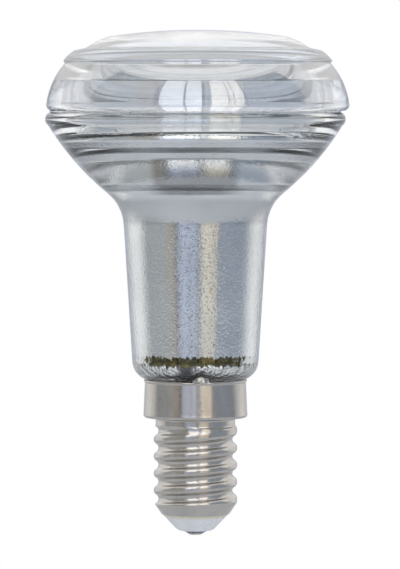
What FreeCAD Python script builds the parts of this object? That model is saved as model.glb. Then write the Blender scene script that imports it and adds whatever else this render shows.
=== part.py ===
"""A reflector bulb with a small screw cap, modelled at its real size in millimetres.

A pressed glass reflector, silvered inside, carries a clear moulded lens on its rim and a
ring of light-emitting diodes in its throat. Its stem is cemented into a plated screw
cap, which also holds a glass insulator and the centre contact. The lamp's axis is Z,
the tip of the centre contact is at the origin and the lens faces up.
"""

import FreeCAD
import Part
import Sketcher
import math
import os

# Driving dimensions. Radii are from the lamp's axis, or from a small piece's own axis.
DRIVING = {
    # clearances between pieces
    "slip_gap": 0.05,
    "loose_gap": 0.3,
    # centre contact, its solder and the insulator
    "solder_flat_radius": 0.6,
    "solder_radius": 1.4,
    "solder_height": 0.32,
    "contact_radius": 2.1,
    "contact_thickness": 0.35,
    "shank_radius": 0.85,
    "shank_wall": 0.3,
    "shank_flare": 0.6,
    "nose_land": 0.3,
    "nose_radius": 3.35,
    "nose_height": 0.5,
    "insulator_cone_height": 2.28,
    "insulator_step": 0.1,
    "insulator_height": 5.2,
    "insulator_floor": 1.6,
    "insulator_wall": 2.2,
    # screw cap, rolled from one sheet
    "cap_sheet": 0.3,
    "mouth_sheet": 0.36,
    "crest_radius": 6.945,
    "crest_flat": 0.02,
    "crest_edge": 0.05,
    "thread_depth": 0.8,
    "thread_pitch": 2.822,
    "thread_turns": 4.6,
    "inner_thread_turns": 4.2,
    "thread_drop": 0.82,
    "cap_cone_step": 1.325,
    "cap_cone_height": 1.9,
    "thread_length": 12.45,
    "land_step": 0.345,
    "land_height": 1.55,
    "collar_height": 6.45,
    "collar_slope": 0.15,
    "collar_corner": 0.7,
    "collar_flare": 0.22,
    "lip_height": 0.45,
    "lip_step": 0.04,
    # glass reflector
    "glass_wall": 1.1,
    "stem_radius": 7.7,
    "stem_depth": 4.6,
    "stem_gap": 0.38,
    "shoulder_step": 0.65,
    "shoulder_height": 2.75,
    "neck_foot_radius": 10.46,
    "neck_top_radius": 11.86,
    "neck_length": 22.7,
    "throat_flare": 2.29,
    "flare_height": 5.0,
    "bowl_height": 11.5,
    "rim_radius": 24.85,
    "rim_bead": 0.55,
    "rim_height": 2.2,
    "rim_flat": 0.75,
    "rim_wall": 3.25,
    "mouth_depth": 4.0,
    "mouth_corner": 0.3,
    # rings pressed into the bowl's inner face
    "turn_rise": 0.95,
    "turn_drop": 0.15,
    "turn_inset": 0.05,
    "high_ring_drop": 1.3,
    "high_ring_inset": 0.33,
    "high_ring_width": 2.8,
    "bead_drop": 2.4,
    "bead_inset": 3.41,
    "bead_foot_rise": 1.9,
    "bead_foot_inset": 0.47,
    "low_ring_rise": 0.8,
    "low_ring_inset": 0.8,
    "flare_top_inset": 1.05,
    "flare_top_drop": 1.14,
    # lens
    "seal_thickness": 0.25,
    "seal_inset": 0.7,
    "lens_overhang": 0.15,
    "lens_foot_step": 0.6,
    "lens_wide_rise": 1.35,
    "lens_skirt_rise": 6.5,
    "lens_waist_step": 3.05,
    "lens_ridge_step": 0.3,
    "lens_ridge_rise": 0.35,
    "lens_shoulder_step": 1.95,
    "lens_shoulder_rise": 1.8,
    "lens_flange_step": 1.9,
    "lens_flange_rise": 0.4,
    "crown_step": 3.8,
    "crown_edge_rise": 1.85,
    "crown_rise": 1.1,
    "belly_depth": 2.25,
    "belly_sag": 0.95,
    "skirt_wall": 1.5,
    "skirt_draft": 0.5,
    "skirt_roof": 2.7,
    "spigot_play": 0.45,
    "spigot_wall": 1.3,
    "spigot_depth": 2.4,
    # heat spreader, pad and board
    "plate_seat": 0.36,
    "plate_thickness": 1.0,
    "spreader_wall": 0.7,
    "spreader_skirt": 8.4,
    "wire_window": 2.4,
    "pad_thickness": 0.2,
    "pad_inset": 1.2,
    "board_inset": 0.5,
    "board_thickness": 1.0,
    # light-emitting diodes
    "led_count": 6,
    "led_inset": 3.8,
    "led_length": 3.5,
    "led_width": 2.8,
    "led_height": 0.7,
    "led_window_radius": 1.15,
    "led_window_depth": 0.12,
    # board pins
    "pin_radius": 0.4,
    "pin_spacing": 2.54,
    "pin_stand": 0.9,
    "pin_depth": 3.5,
    "pin_solder_rise": 0.5,
    "pin_solder_spread": 0.5,
    # driver
    "lead_channel": 0.35,
    "sleeve_wall": 0.7,
    "sleeve_drop": 4.8,
    "sleeve_step_rise": 1.6,
    "sleeve_step": 3.4,
    "driver_thickness": 1.2,
    "driver_slack": 0.1,
    "driver_foot_drop": 3.6,
    "driver_head_gap": 2.0,
    "can_gap": 0.7,
    "capacitor_play": 0.4,
    "capacitor_headroom": 0.3,
    "capacitor_rise": 1.2,
    "output_radius": 1.9,
    "output_height": 5.5,
    "crimp_depth": 0.22,
    "crimp_height": 1.2,
    "choke_radius": 2.7,
    "choke_core_radius": 1.3,
    "choke_height": 4.4,
    "choke_flange": 0.7,
    "choke_gap": 1.0,
    "bridge_length": 4.7,
    "bridge_width": 3.9,
    "bridge_height": 2.2,
    "bridge_rise": 8.0,
    "chip_length": 4.9,
    "chip_width": 3.9,
    "chip_height": 1.5,
    "chip_rise": 8.0,
    "fuse_radius": 1.25,
    "fuse_length": 5.2,
    "fuse_rise": 2.6,
    "lead_radius": 0.3,
    "lead_overlap": 1.6,
    # side lead and the solder on the cap's rim
    "side_lead_radius": 0.15,
    "side_lead_bend": 0.4,
    "side_lead_across": 0.9,
    "side_lead_rise": 1.6,
    "side_lead_run": 1.1,
    "side_lead_gap": 0.15,
    "rim_solder_half_width": 1.42,
    "rim_solder_half_height": 1.3,
    "rim_solder_half_depth": 0.95,
    "rim_solder_reach": 0.62,
}

# Bulge of each arc: its height over its chord, positive to the left of the way it is drawn.
SHOULDER_BULGE = 0.14
FLARE_BULGE = 0.0934
BOWL_BULGE = 0.0434
RIM_BULGE = 0.29
CROWN_EDGE_BULGE = 0.047
LENS_SHOULDER_BULGE = 0.06
LENS_SKIRT_BULGE = 0.075
LENS_FOOT_BULGE = 0.2
CORNER_BULGE = 0.2
LIP_BULGE = 0.35
SOLDER_BULGE = 0.15
FLARE_BORE_BULGE = 0.0725
BEAD_BULGE = 0.05
TURN_BULGE = 0.033

# How a sketch numbers its own two axes, and the middle of a circle or arc.
LEVEL_AXIS_INDEX = -1
UPRIGHT_AXIS_INDEX = -2
CENTRE_INDEX = 3

doc = FreeCAD.newDocument("reflector_bulb")
sheet = doc.addObject("Spreadsheet::Sheet", "Sizes")
for row, (alias, number) in enumerate(DRIVING.items(), start=1):
    sheet.set(f"A{row}", alias)
    sheet.set(f"B{row}", str(number))
    sheet.setAlias(f"B{row}", alias)
doc.recompute()


class Size:
    """A length as a number, and as the expression on the sheet that gives it."""

    def __init__(self, number, text):
        self.number = number
        self.text = text

    def __add__(self, other):
        other = as_size(other)
        return Size(self.number + other.number, f"({self.text} + {other.text})")

    def __radd__(self, other):
        return as_size(other) + self

    def __sub__(self, other):
        other = as_size(other)
        return Size(self.number - other.number, f"({self.text} - {other.text})")

    def __rsub__(self, other):
        return as_size(other) - self

    def __mul__(self, other):
        other = as_size(other)
        return Size(self.number * other.number, f"({self.text} * {other.text})")

    def __rmul__(self, other):
        return as_size(other) * self

    def __truediv__(self, other):
        other = as_size(other)
        return Size(self.number / other.number, f"({self.text} / {other.text})")

    def __neg__(self):
        return as_size(0) - self

    def root(self):
        """The square root of this size."""
        return Size(math.sqrt(self.number), f"sqrt({self.text})")


class SizeSheet:
    """Gives each driving dimension as a Size, by its name."""

    def __getattr__(self, alias):
        return Size(float(DRIVING[alias]), f"Sizes.{alias}")


class Bulge:
    """Makes an arc of the run between two corners of an outline."""

    def __init__(self, share):
        self.share = as_size(share)

    def middle(self, start, end):
        """The arc's middle point, out to the left of the chord by the bulge."""
        across = (start[0] + end[0]) / 2 - self.share * (end[1] - start[1])
        up = (start[1] + end[1]) / 2 + self.share * (end[0] - start[0])
        return across, up


class Dome(Bulge):
    """Makes a level-topped dome of the run between a corner on the axis and one off it."""

    def __init__(self, radius, rise):
        chord = (radius * radius + rise * rise).root()
        super().__init__((chord - radius) / (rise * 2))


def as_size(value):
    """A plain number as a Size, so that both can stand in one sum."""
    return value if isinstance(value, Size) else Size(float(value), repr(float(value)))


def bind(item, name, size):
    """Ties one property of a document object to the sheet."""
    item.setExpression(name, as_size(size).text)


def place(item, across=0, depth=0, up=0):
    """Ties an object's place to the sheet."""
    for axis, size in (("x", across), ("y", depth), ("z", up)):
        bind(item, f"Placement.Base.{axis}", size)
    return item


def vector(point):
    """A sketch point as a vector."""
    return FreeCAD.Vector(point[0].number, point[1].number, 0)


def tie_point(sketch, geometry, end, point):
    """Ties one end of a piece of sketch geometry to its two sizes from the sketch's origin."""
    for name, axis, size in (
        ("DistanceX", UPRIGHT_AXIS_INDEX, point[0]),
        ("DistanceY", LEVEL_AXIS_INDEX, point[1]),
    ):
        if size.number == 0:
            sketch.addConstraint(Sketcher.Constraint("PointOnObject", geometry, end, axis))
        else:
            row = sketch.addConstraint(Sketcher.Constraint(name, geometry, end, size.number))
            bind(sketch, f"Constraints[{row}]", size)


def arc_through(start, middle, end):
    """An arc from start to end through middle, and whether it runs anticlockwise."""
    circle = Part.Circle(start, middle, end)
    anticlockwise = (middle - start).cross(end - middle).z > 0
    first, last = (start, end) if anticlockwise else (end, start)
    angles = [math.atan2(p.y - circle.Center.y, p.x - circle.Center.x) for p in (first, last)]
    upright = Part.Circle(circle.Center, FreeCAD.Vector(0, 0, 1), circle.Radius)
    return Part.ArcOfCircle(upright, angles[0], angles[1]), anticlockwise


def draw_run(sketch, start, bulge, end):
    """Draws one straight or bent run, and gives its geometry and its two ends in order."""
    if bulge is None:
        return sketch.addGeometry(Part.LineSegment(vector(start), vector(end))), 1, 2
    middle = bulge.middle(start, end)
    arc, anticlockwise = arc_through(vector(start), vector(middle), vector(end))
    geometry = sketch.addGeometry(arc)
    if isinstance(bulge, Dome):
        sketch.addConstraint(Sketcher.Constraint("PointOnObject", geometry, CENTRE_INDEX, UPRIGHT_AXIS_INDEX))
    else:
        mark = sketch.addGeometry(Part.Point(vector(middle)), True)
        sketch.addConstraint(Sketcher.Constraint("PointOnObject", mark, 1, geometry))
        tie_point(sketch, mark, 1, middle)
    return (geometry, 1, 2) if anticlockwise else (geometry, 2, 1)


def draw_runs(sketch, outline, closed):
    """Draws an outline of corners, with a Bulge between two corners that an arc joins."""
    corners = [part for part in outline if not isinstance(part, Bulge)]
    corners = [(as_size(across), as_size(up)) for across, up in corners]
    bulges = {}
    passed = 0
    for part in outline:
        if isinstance(part, Bulge):
            bulges[passed - 1] = part
        else:
            passed += 1
    last = len(corners) if closed else len(corners) - 1
    runs = []
    for i in range(last):
        runs.append(draw_run(sketch, corners[i], bulges.get(i), corners[(i + 1) % len(corners)]))
    for i, (geometry, start, end) in enumerate(runs):
        tie_point(sketch, geometry, start, corners[i])
        if closed or i + 1 < last:
            following, its_start = runs[(i + 1) % len(runs)][:2]
            sketch.addConstraint(Sketcher.Constraint("Coincident", geometry, end, following, its_start))
        else:
            tie_point(sketch, geometry, end, corners[i + 1])


def new_body(label):
    """An empty body with its label."""
    body = doc.addObject("PartDesign::Body", label)
    body.Label = label
    return body


def new_sketch(body, name, role="XZ_Plane"):
    """An empty sketch on one of the body's own origin planes."""
    sketch = body.newObject("Sketcher::SketchObject", name)
    plane = next(item for item in body.Origin.OriginFeatures if item.Role == role)
    sketch.AttachmentSupport = [(plane, "")]
    sketch.MapMode = "FlatFace"
    return sketch


def outline_sketch(body, name, outline, role="XZ_Plane", closed=True):
    """A sketch of an outline."""
    sketch = new_sketch(body, name, role)
    draw_runs(sketch, outline, closed)
    return sketch


def turned(label, outline):
    """A body turned about its own Z axis from a half section."""
    body = new_body(label)
    turn = body.newObject("PartDesign::Revolution", f"{label}_turn")
    turn.Profile = outline_sketch(body, f"{label}_section", outline)
    turn.ReferenceAxis = (turn.Profile[0], ["V_Axis"])
    turn.Angle = 360
    body.Tip = turn
    return body


def cylinder(label, radius, height):
    """An upright cylinder."""
    solid = doc.addObject("Part::Cylinder", label)
    bind(solid, "Radius", radius)
    bind(solid, "Height", height)
    return solid


def block(label, length, width, height):
    """A box that stands on its own origin, with the origin in the middle of its base."""
    solid = doc.addObject("Part::Box", label)
    bind(solid, "Length", length)
    bind(solid, "Width", width)
    bind(solid, "Height", height)
    return place(solid, -length / 2, -width / 2, 0)


def cut(label, base, *tools):
    """What is left of one solid when others are taken from it."""
    for i, tool in enumerate(tools, start=1):
        result = doc.addObject("Part::Cut", label if i == len(tools) else f"{label}_cut_{i}")
        result.Base = base
        result.Tool = tool
        base = result
    return base


s = SizeSheet()

# Heights above the tip, from the contact up to the lens.
nose_z = s.solder_height + s.contact_thickness
cap_mouth_z = nose_z + s.nose_height + s.insulator_cone_height
thread_foot_z = cap_mouth_z + s.cap_cone_height
thread_top_z = thread_foot_z + s.thread_length
collar_foot_z = thread_top_z + s.land_height
collar_top_z = collar_foot_z + s.collar_height
shoulder_z = collar_top_z + s.slip_gap
stem_foot_z = shoulder_z - s.stem_depth
neck_foot_z = shoulder_z + s.shoulder_height
neck_top_z = neck_foot_z + s.neck_length
throat_z = neck_top_z + s.flare_height
bowl_top_z = throat_z + s.bowl_height
rim_top_z = bowl_top_z + s.rim_height
lens_foot_z = rim_top_z + s.seal_thickness

# Radii that several pieces share.
root_radius = s.crest_radius - s.thread_depth
cap_bore = root_radius - s.cap_sheet
land_radius = s.crest_radius - s.land_step
collar_bore_top = s.stem_radius + s.stem_gap
collar_bore_foot = collar_bore_top + s.collar_flare
collar_radius = collar_bore_top + s.cap_sheet
cap_mouth_radius = s.crest_radius - s.cap_cone_step
cap_mouth_bore = cap_mouth_radius - s.mouth_sheet
stem_bore = s.stem_radius - s.glass_wall
bore_foot_z = shoulder_z + s.slip_gap
bore_shoulder_radius = stem_bore + s.glass_wall
bore_shoulder_z = shoulder_z + s.glass_wall
neck_foot_bore = s.neck_foot_radius - s.glass_wall
neck_top_bore = s.neck_top_radius - s.glass_wall
mouth_radius = s.rim_radius - s.rim_wall
mouth_foot_z = rim_top_z - s.mouth_depth
throat_radius = s.neck_top_radius + s.throat_flare
spigot_radius = mouth_radius - s.spigot_play

# The glass wall's inner side is off its outer side by the wall along the slope there.
THROAT_SLOPE = math.radians(44.2)
throat_bore = throat_radius - s.glass_wall * math.sin(THROAT_SLOPE)
throat_bore_z = throat_z + s.glass_wall * math.cos(THROAT_SLOPE)

# The spreader's plate seats where the throat has widened to its edge.
plate_foot_z = neck_top_z + s.plate_seat * (throat_bore_z - neck_top_z)
plate_radius = neck_top_bore + (throat_bore - neck_top_bore) * s.plate_seat * s.plate_seat - s.slip_gap
pad_foot_z = plate_foot_z + s.plate_thickness
board_foot_z = pad_foot_z + s.pad_thickness
board_top_z = board_foot_z + s.board_thickness
board_radius = plate_radius - s.board_inset
led_ring_radius = board_radius - s.led_inset
neck_slope = (s.neck_top_radius - s.neck_foot_radius) / s.neck_length
skirt_radius = neck_top_bore - s.loose_gap
skirt_foot_radius = skirt_radius - neck_slope * s.spreader_skirt

# The driver's sleeve fits the spreader's skirt, keeps the neck's slope and leaves the side lead
# a channel below.
sleeve_foot_z = stem_foot_z - s.sleeve_drop
sleeve_step_z = shoulder_z + s.sleeve_step_rise
sleeve_waist_z = sleeve_step_z + s.sleeve_step
sleeve_top_z = plate_foot_z - s.slip_gap
sleeve_top_radius = skirt_radius - s.spreader_wall - s.loose_gap
sleeve_waist_radius = sleeve_top_radius - neck_slope * (neck_top_z - sleeve_waist_z)
sleeve_tail_radius = cap_bore - s.side_lead_radius * 2 - s.lead_channel
driver_face = s.lead_radius + s.slip_gap
driver_back = driver_face + s.driver_thickness
driver_foot_z = sleeve_foot_z - s.driver_foot_drop
driver_step_z = sleeve_waist_z + s.loose_gap
driver_top_z = plate_foot_z - s.driver_head_gap
pin_foot_z = plate_foot_z - s.pin_depth
can_room = sleeve_waist_radius - s.sleeve_wall - s.can_gap
choke_z = pin_foot_z - s.choke_gap - s.choke_radius
can_foot_z = driver_step_z + s.capacitor_rise
plug_top_z = nose_z + s.slip_gap


def thread_outline(inside):
    """Half section of the groove that the thread's helix cuts, between two crests.

    A screw cap's thread is two equal arcs, one hollow and one round, which meet half
    way up the flank. The sheet's inner side keeps the same centres, so its arcs are
    one sheet longer and shorter in radius and meet one sheet further in.
    """
    half_pitch = s.thread_pitch / 2
    bulge = s.thread_depth / s.thread_pitch
    square = bulge * bulge * 4
    half_bulge = ((square + 1).root() - 1) / (bulge * 4)
    middle = s.crest_radius - s.thread_depth / 2
    centre = thread_foot_z - s.thread_drop
    edge = half_pitch - s.crest_edge
    if not inside:
        low, high = centre - half_pitch / 2, centre + half_pitch / 2
        return [
            (middle, high), Bulge(bulge), (middle, low), Bulge(-half_bulge),
            (s.crest_radius, centre - edge), (s.crest_radius, centre + edge), Bulge(-half_bulge),
        ]
    inner = middle - s.cap_sheet * (1 - square) / (square + 1)
    centre = centre + half_pitch
    reach = half_pitch / 2 - s.cap_sheet * bulge * 4 / (square + 1)
    return [
        (inner, centre - reach), Bulge(-bulge), (inner, centre + reach), Bulge(half_bulge),
        (cap_bore, centre + edge), (cap_bore, centre - edge), Bulge(half_bulge),
    ]


def roll_thread(body, name, inside, turns):
    """Cuts one side of the rolled thread along its helix."""
    sketch = outline_sketch(body, f"{name}_groove", thread_outline(inside))
    helix = body.newObject("PartDesign::SubtractiveHelix", name)
    helix.Profile = sketch
    helix.ReferenceAxis = (sketch, ["V_Axis"])
    helix.Mode = "pitch-turns-angle"
    helix.Angle = 0
    bind(helix, "Pitch", s.thread_pitch)
    bind(helix, "Turns", turns)
    body.Tip = helix


def collar_bore(height):
    """The collar's inner radius at a height, on its gentle taper."""
    foot_z = collar_foot_z + s.cap_sheet * 2 + s.collar_slope
    return collar_bore_top + s.collar_flare * (collar_top_z - height) / (collar_top_z - foot_z)


def screw_cap():
    """The rolled sheet cap: mouth, thread, land and collar, with a notch for the side lead."""
    bore = cap_bore + s.crest_flat
    crest = s.crest_radius - s.crest_flat
    cone_top = cap_mouth_z + (bore - cap_mouth_bore) * s.cap_cone_height / s.cap_cone_step
    collar_foot_radius = collar_bore_foot + s.cap_sheet
    corner_foot = collar_foot_radius - s.cap_sheet
    land_bore = land_radius - s.cap_sheet
    floor_z = collar_foot_z + s.cap_sheet
    body = turned("screw_cap", [
        (cap_mouth_radius, cap_mouth_z),
        (crest, thread_foot_z),
        (crest, thread_top_z),
        (land_radius, thread_top_z + s.land_step),
        (land_radius, collar_foot_z),
        (corner_foot, collar_foot_z + s.collar_slope), Bulge(-CORNER_BULGE),
        (collar_foot_radius, collar_foot_z + s.collar_slope + s.collar_corner),
        (collar_radius, collar_top_z - s.lip_height), Bulge(-LIP_BULGE),
        (collar_radius + s.lip_step, collar_top_z),
        (collar_bore_top, collar_top_z),
        (collar_bore_foot, floor_z + s.cap_sheet + s.collar_slope),
        (collar_bore_foot - s.cap_sheet, floor_z + s.collar_slope),
        (land_bore, floor_z),
        (land_bore, thread_top_z),
        (bore, thread_top_z - s.land_step),
        (bore, cone_top),
        (cap_mouth_bore, cap_mouth_z),
    ])
    roll_thread(body, "outer_thread", False, s.thread_turns)
    roll_thread(body, "inner_thread", True, s.inner_thread_turns)
    notch_width = s.side_lead_radius * 2 + s.slip_gap * 2
    notch_depth = notch_width + s.slip_gap
    notch = body.newObject("PartDesign::Pocket", "lead_notch")
    notch.Profile = outline_sketch(body, "lead_notch_outline", [
        (s.side_lead_across - notch_width / 2, collar_top_z - notch_depth),
        (s.side_lead_across + notch_width / 2, collar_top_z - notch_depth),
        (s.side_lead_across + notch_width / 2, collar_top_z + notch_depth),
        (s.side_lead_across - notch_width / 2, collar_top_z + notch_depth),
    ])
    notch.Reversed = True
    bind(notch, "Length", collar_radius + s.stem_gap)
    body.Tip = notch
    return body


def bowl_bore(height):
    """The bowl's inner radius at a height: its chord's, and its arc's distance from the chord."""
    out, up = mouth_radius - throat_bore, mouth_foot_z - throat_bore_z
    below, above = height - throat_bore_z, mouth_foot_z - height
    bend = below * above * (out * out + up * up) * BOWL_BULGE * 4 / (up * up * up)
    return throat_bore + out * below / up + bend


def glass_reflector():
    """The reflector in one piece: stem, shoulder, neck, bowl and rim.

    The bowl is smooth outside and stepped inside. From the mouth down, a turn, a slope and a
    ledge make the high ring, a short slope leads to the upright bead, and under it a ledge
    and a steep part make the low ring over the flare.
    """
    turn_foot_z = mouth_foot_z - s.turn_drop
    high_ring_z = mouth_foot_z - s.high_ring_drop
    high_ring_radius = bowl_bore(high_ring_z) - s.high_ring_inset
    bead_z = mouth_foot_z - s.bead_drop
    bead_foot_z = throat_bore_z + s.bead_foot_rise
    low_ring_z = throat_bore_z + s.low_ring_rise
    return turned("glass_reflector", [
        (s.stem_radius, stem_foot_z),
        (s.stem_radius, shoulder_z),
        (s.stem_radius + s.shoulder_step, shoulder_z), Bulge(-SHOULDER_BULGE),
        (s.neck_foot_radius, neck_foot_z),
        (s.neck_top_radius, neck_top_z), Bulge(FLARE_BULGE),
        (throat_radius, throat_z), Bulge(-BOWL_BULGE),
        (s.rim_radius - s.rim_bead, bowl_top_z), Bulge(-RIM_BULGE),
        (s.rim_radius - s.rim_flat, rim_top_z),
        (mouth_radius + s.mouth_corner, rim_top_z),
        (mouth_radius, rim_top_z - s.mouth_corner),
        (mouth_radius, mouth_foot_z + s.turn_rise), Bulge(TURN_BULGE),
        (bowl_bore(turn_foot_z) - s.turn_inset, turn_foot_z),
        (high_ring_radius, high_ring_z),
        (high_ring_radius - s.high_ring_width, high_ring_z),
        (bowl_bore(bead_z) - s.bead_inset, bead_z), Bulge(BEAD_BULGE),
        (bowl_bore(bead_foot_z) - s.bead_foot_inset, bead_foot_z),
        (bowl_bore(low_ring_z) - s.low_ring_inset, low_ring_z),
        (throat_bore - s.flare_top_inset, throat_bore_z - s.flare_top_drop), Bulge(-FLARE_BORE_BULGE),
        (neck_top_bore, neck_top_z),
        (neck_foot_bore, neck_foot_z), Bulge(SHOULDER_BULGE),
        (bore_shoulder_radius, bore_shoulder_z),
        (stem_bore, bore_foot_z),
        (stem_bore, stem_foot_z),
    ])


def front_lens():
    """The clear moulded lens: crown, belled skirt and a spigot that hangs into the glass mouth.

    It is glued on as far to one side as the spigot's play lets it go.
    """
    wide_radius = s.rim_radius + s.lens_overhang
    waist_radius = wide_radius - s.lens_waist_step
    ridge_radius = waist_radius + s.lens_ridge_step
    flange_radius = ridge_radius - s.lens_shoulder_step
    dome_radius = flange_radius - s.lens_flange_step
    crown_radius = dome_radius - s.crown_step
    spigot_bore = spigot_radius - s.spigot_wall
    foot_radius = wide_radius - s.lens_foot_step
    skirt_bore_foot = foot_radius - s.skirt_wall
    wide_z = lens_foot_z + s.lens_wide_rise
    waist_z = wide_z + s.lens_skirt_rise
    ridge_z = waist_z + s.lens_ridge_rise
    flange_z = ridge_z + s.lens_shoulder_rise
    dome_z = flange_z + s.lens_flange_rise
    crown_edge_z = dome_z + s.crown_edge_rise
    belly_z = flange_z - s.belly_depth
    roof_z = waist_z - s.skirt_roof
    body = turned("front_lens", [
        (0, crown_edge_z + s.crown_rise), Dome(crown_radius, s.crown_rise),
        (crown_radius, crown_edge_z), Bulge(CROWN_EDGE_BULGE),
        (dome_radius, dome_z),
        (flange_radius, flange_z), Bulge(LENS_SHOULDER_BULGE),
        (ridge_radius, ridge_z),
        (waist_radius, waist_z), Bulge(LENS_SKIRT_BULGE),
        (wide_radius, wide_z), Bulge(LENS_FOOT_BULGE),
        (foot_radius, lens_foot_z),
        (skirt_bore_foot, lens_foot_z),
        (skirt_bore_foot - s.skirt_draft, roof_z),
        (spigot_radius, roof_z),
        (spigot_radius, rim_top_z - s.spigot_depth),
        (spigot_bore, rim_top_z - s.spigot_depth),
        (spigot_bore, belly_z), Dome(spigot_bore, s.belly_sag),
        (0, belly_z - s.belly_sag),
    ])
    return place(body, s.spigot_play - s.slip_gap)


def lens_seal():
    """The flat ring of clear glue between the rim and the lens."""
    inner = mouth_radius + s.seal_inset
    outer = s.rim_radius - s.rim_flat
    top = rim_top_z + s.seal_thickness
    return turned("lens_seal", [(inner, rim_top_z), (outer, rim_top_z), (outer, top), (inner, top)])


def cap_insulator():
    """The glass insulator cast into the cap's mouth, dished inside and holed for the contact."""
    bore = s.shank_radius + s.slip_gap
    cone_top = cap_mouth_z + (cap_bore - cap_mouth_bore) * s.cap_cone_height / s.cap_cone_step
    top_z = nose_z + s.insulator_height
    floor_z = nose_z + s.insulator_floor
    well_radius = cap_bore - s.insulator_wall
    return turned("cap_insulator", [
        (bore, nose_z),
        (s.contact_radius + s.nose_land, nose_z), Bulge(-CORNER_BULGE / 2),
        (s.nose_radius, nose_z + s.nose_height),
        (cap_mouth_radius - s.insulator_step, cap_mouth_z),
        (cap_mouth_bore - s.slip_gap, cap_mouth_z),
        (cap_bore - s.slip_gap, cone_top),
        (cap_bore - s.slip_gap, top_z),
        (well_radius, top_z), Bulge(CORNER_BULGE),
        (well_radius - s.shank_flare, floor_z),
        (bore, floor_z),
    ])


def centre_contact():
    """The brass eyelet: a coned head under the insulator and a shank flared over its floor."""
    bore = s.shank_radius - s.shank_wall
    floor_z = nose_z + s.insulator_floor
    return turned("centre_contact", [
        (bore, s.solder_height),
        (s.solder_radius + s.slip_gap, s.solder_height),
        (s.contact_radius, nose_z),
        (s.shank_radius, nose_z),
        (s.shank_radius, floor_z),
        (s.shank_radius + s.shank_flare, floor_z),
        (s.shank_radius, floor_z + s.shank_wall),
        (bore, floor_z + s.shank_wall),
    ])


def contact_solder():
    """The drop of solder that closes the eyelet from below and makes the lamp's tip."""
    plug_radius = s.shank_radius - s.shank_wall - s.slip_gap
    return turned("contact_solder", [
        (0, 0),
        (s.solder_flat_radius, 0), Bulge(-SOLDER_BULGE),
        (s.solder_radius, s.solder_height),
        (plug_radius, s.solder_height),
        (plug_radius, plug_top_z),
        (0, plug_top_z),
    ])


def side_lead_middle():
    """How far out from the axis the side lead runs, midway between the stem and the collar."""
    return s.stem_radius + s.stem_gap / 2


def side_lead_depth():
    """How far in front of the axis the side lead climbs."""
    out = side_lead_middle()
    return (out * out - s.side_lead_across * s.side_lead_across).root()


def side_lead():
    """The bare wire from the driver, under the glass stem and up to the collar's notch."""
    start_z = driver_foot_z + s.side_lead_rise
    channel = cap_bore - s.side_lead_radius - s.lead_channel / 2
    channel = (channel * channel - s.side_lead_across * s.side_lead_across).root()
    turn_z = stem_foot_z - s.side_lead_radius - s.side_lead_gap
    top_z = collar_top_z - s.side_lead_radius - s.slip_gap
    climb = side_lead_depth()
    stops = [
        (-(driver_face - s.side_lead_radius - s.slip_gap), start_z),
        (channel, start_z),
        (channel, turn_z),
        (climb, turn_z),
        (climb, top_z),
        (climb + s.side_lead_run, top_z),
    ]
    body = new_body("side_lead")
    path = outline_sketch(body, "side_lead_path", rounded(stops, s.side_lead_bend), closed=False)
    ring = new_sketch(body, "side_lead_ring", "YZ_Plane")
    circle = ring.addGeometry(Part.Circle(FreeCAD.Vector(0, 0, 0), FreeCAD.Vector(0, 0, 1), 1))
    tie_point(ring, circle, CENTRE_INDEX, (as_size(0), start_z))
    row = ring.addConstraint(Sketcher.Constraint("Radius", circle, s.side_lead_radius.number))
    bind(ring, f"Constraints[{row}]", s.side_lead_radius)
    bind(ring, "AttachmentOffset.Base.z", stops[0][0])
    pipe = body.newObject("PartDesign::AdditivePipe", "side_lead_pipe")
    pipe.Profile = ring
    pipe.Spine = path
    body.Tip = pipe
    body.Placement.Rotation = FreeCAD.Rotation(FreeCAD.Vector(0, 0, 1), -90)
    return place(body, s.side_lead_across)


def rounded(stops, bend):
    """A run of stops joined by square corners, each corner rounded to one bend radius."""
    outline = [stops[0]]
    for before, corner, after in zip(stops, stops[1:], stops[2:]):
        enter = toward(corner, before, bend)
        leave = toward(corner, after, bend)
        turn = cross(before, corner, after)
        bulge = (math.sqrt(2) - 1) / 2
        outline += [enter, Bulge(bulge if turn < 0 else -bulge), leave]
    return outline + [stops[-1]]


def toward(corner, other, distance):
    """The point a distance from a corner along the level or upright run to another stop."""
    step = []
    for own, far in zip(corner, other):
        gap = as_size(far).number - as_size(own).number
        step.append(as_size(own) if abs(gap) < 1e-9 else as_size(own) + distance * math.copysign(1, gap))
    return tuple(step)


def cross(before, corner, after):
    """Positive where a path turns to the left at a corner."""
    start, turn, end = (vector((as_size(x), as_size(z))) for x, z in (before, corner, after))
    return (turn - start).cross(end - turn).z


def basing_cement():
    """The ring of cement between the glass stem and the collar, with a way for the side lead."""
    inner = s.stem_radius + s.slip_gap
    foot_z = stem_foot_z + s.loose_gap
    top_z = collar_top_z - s.lip_height
    ring = turned("cement_ring", [
        (inner, foot_z),
        (collar_bore(foot_z) - s.slip_gap, foot_z),
        (collar_bore(top_z) - s.slip_gap, top_z),
        (inner, top_z),
    ])
    way = cylinder("cement_way", s.side_lead_radius + s.slip_gap, s.stem_depth)
    place(way, s.side_lead_across, -side_lead_depth(), stem_foot_z)
    return cut("basing_cement", ring, way)


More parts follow.
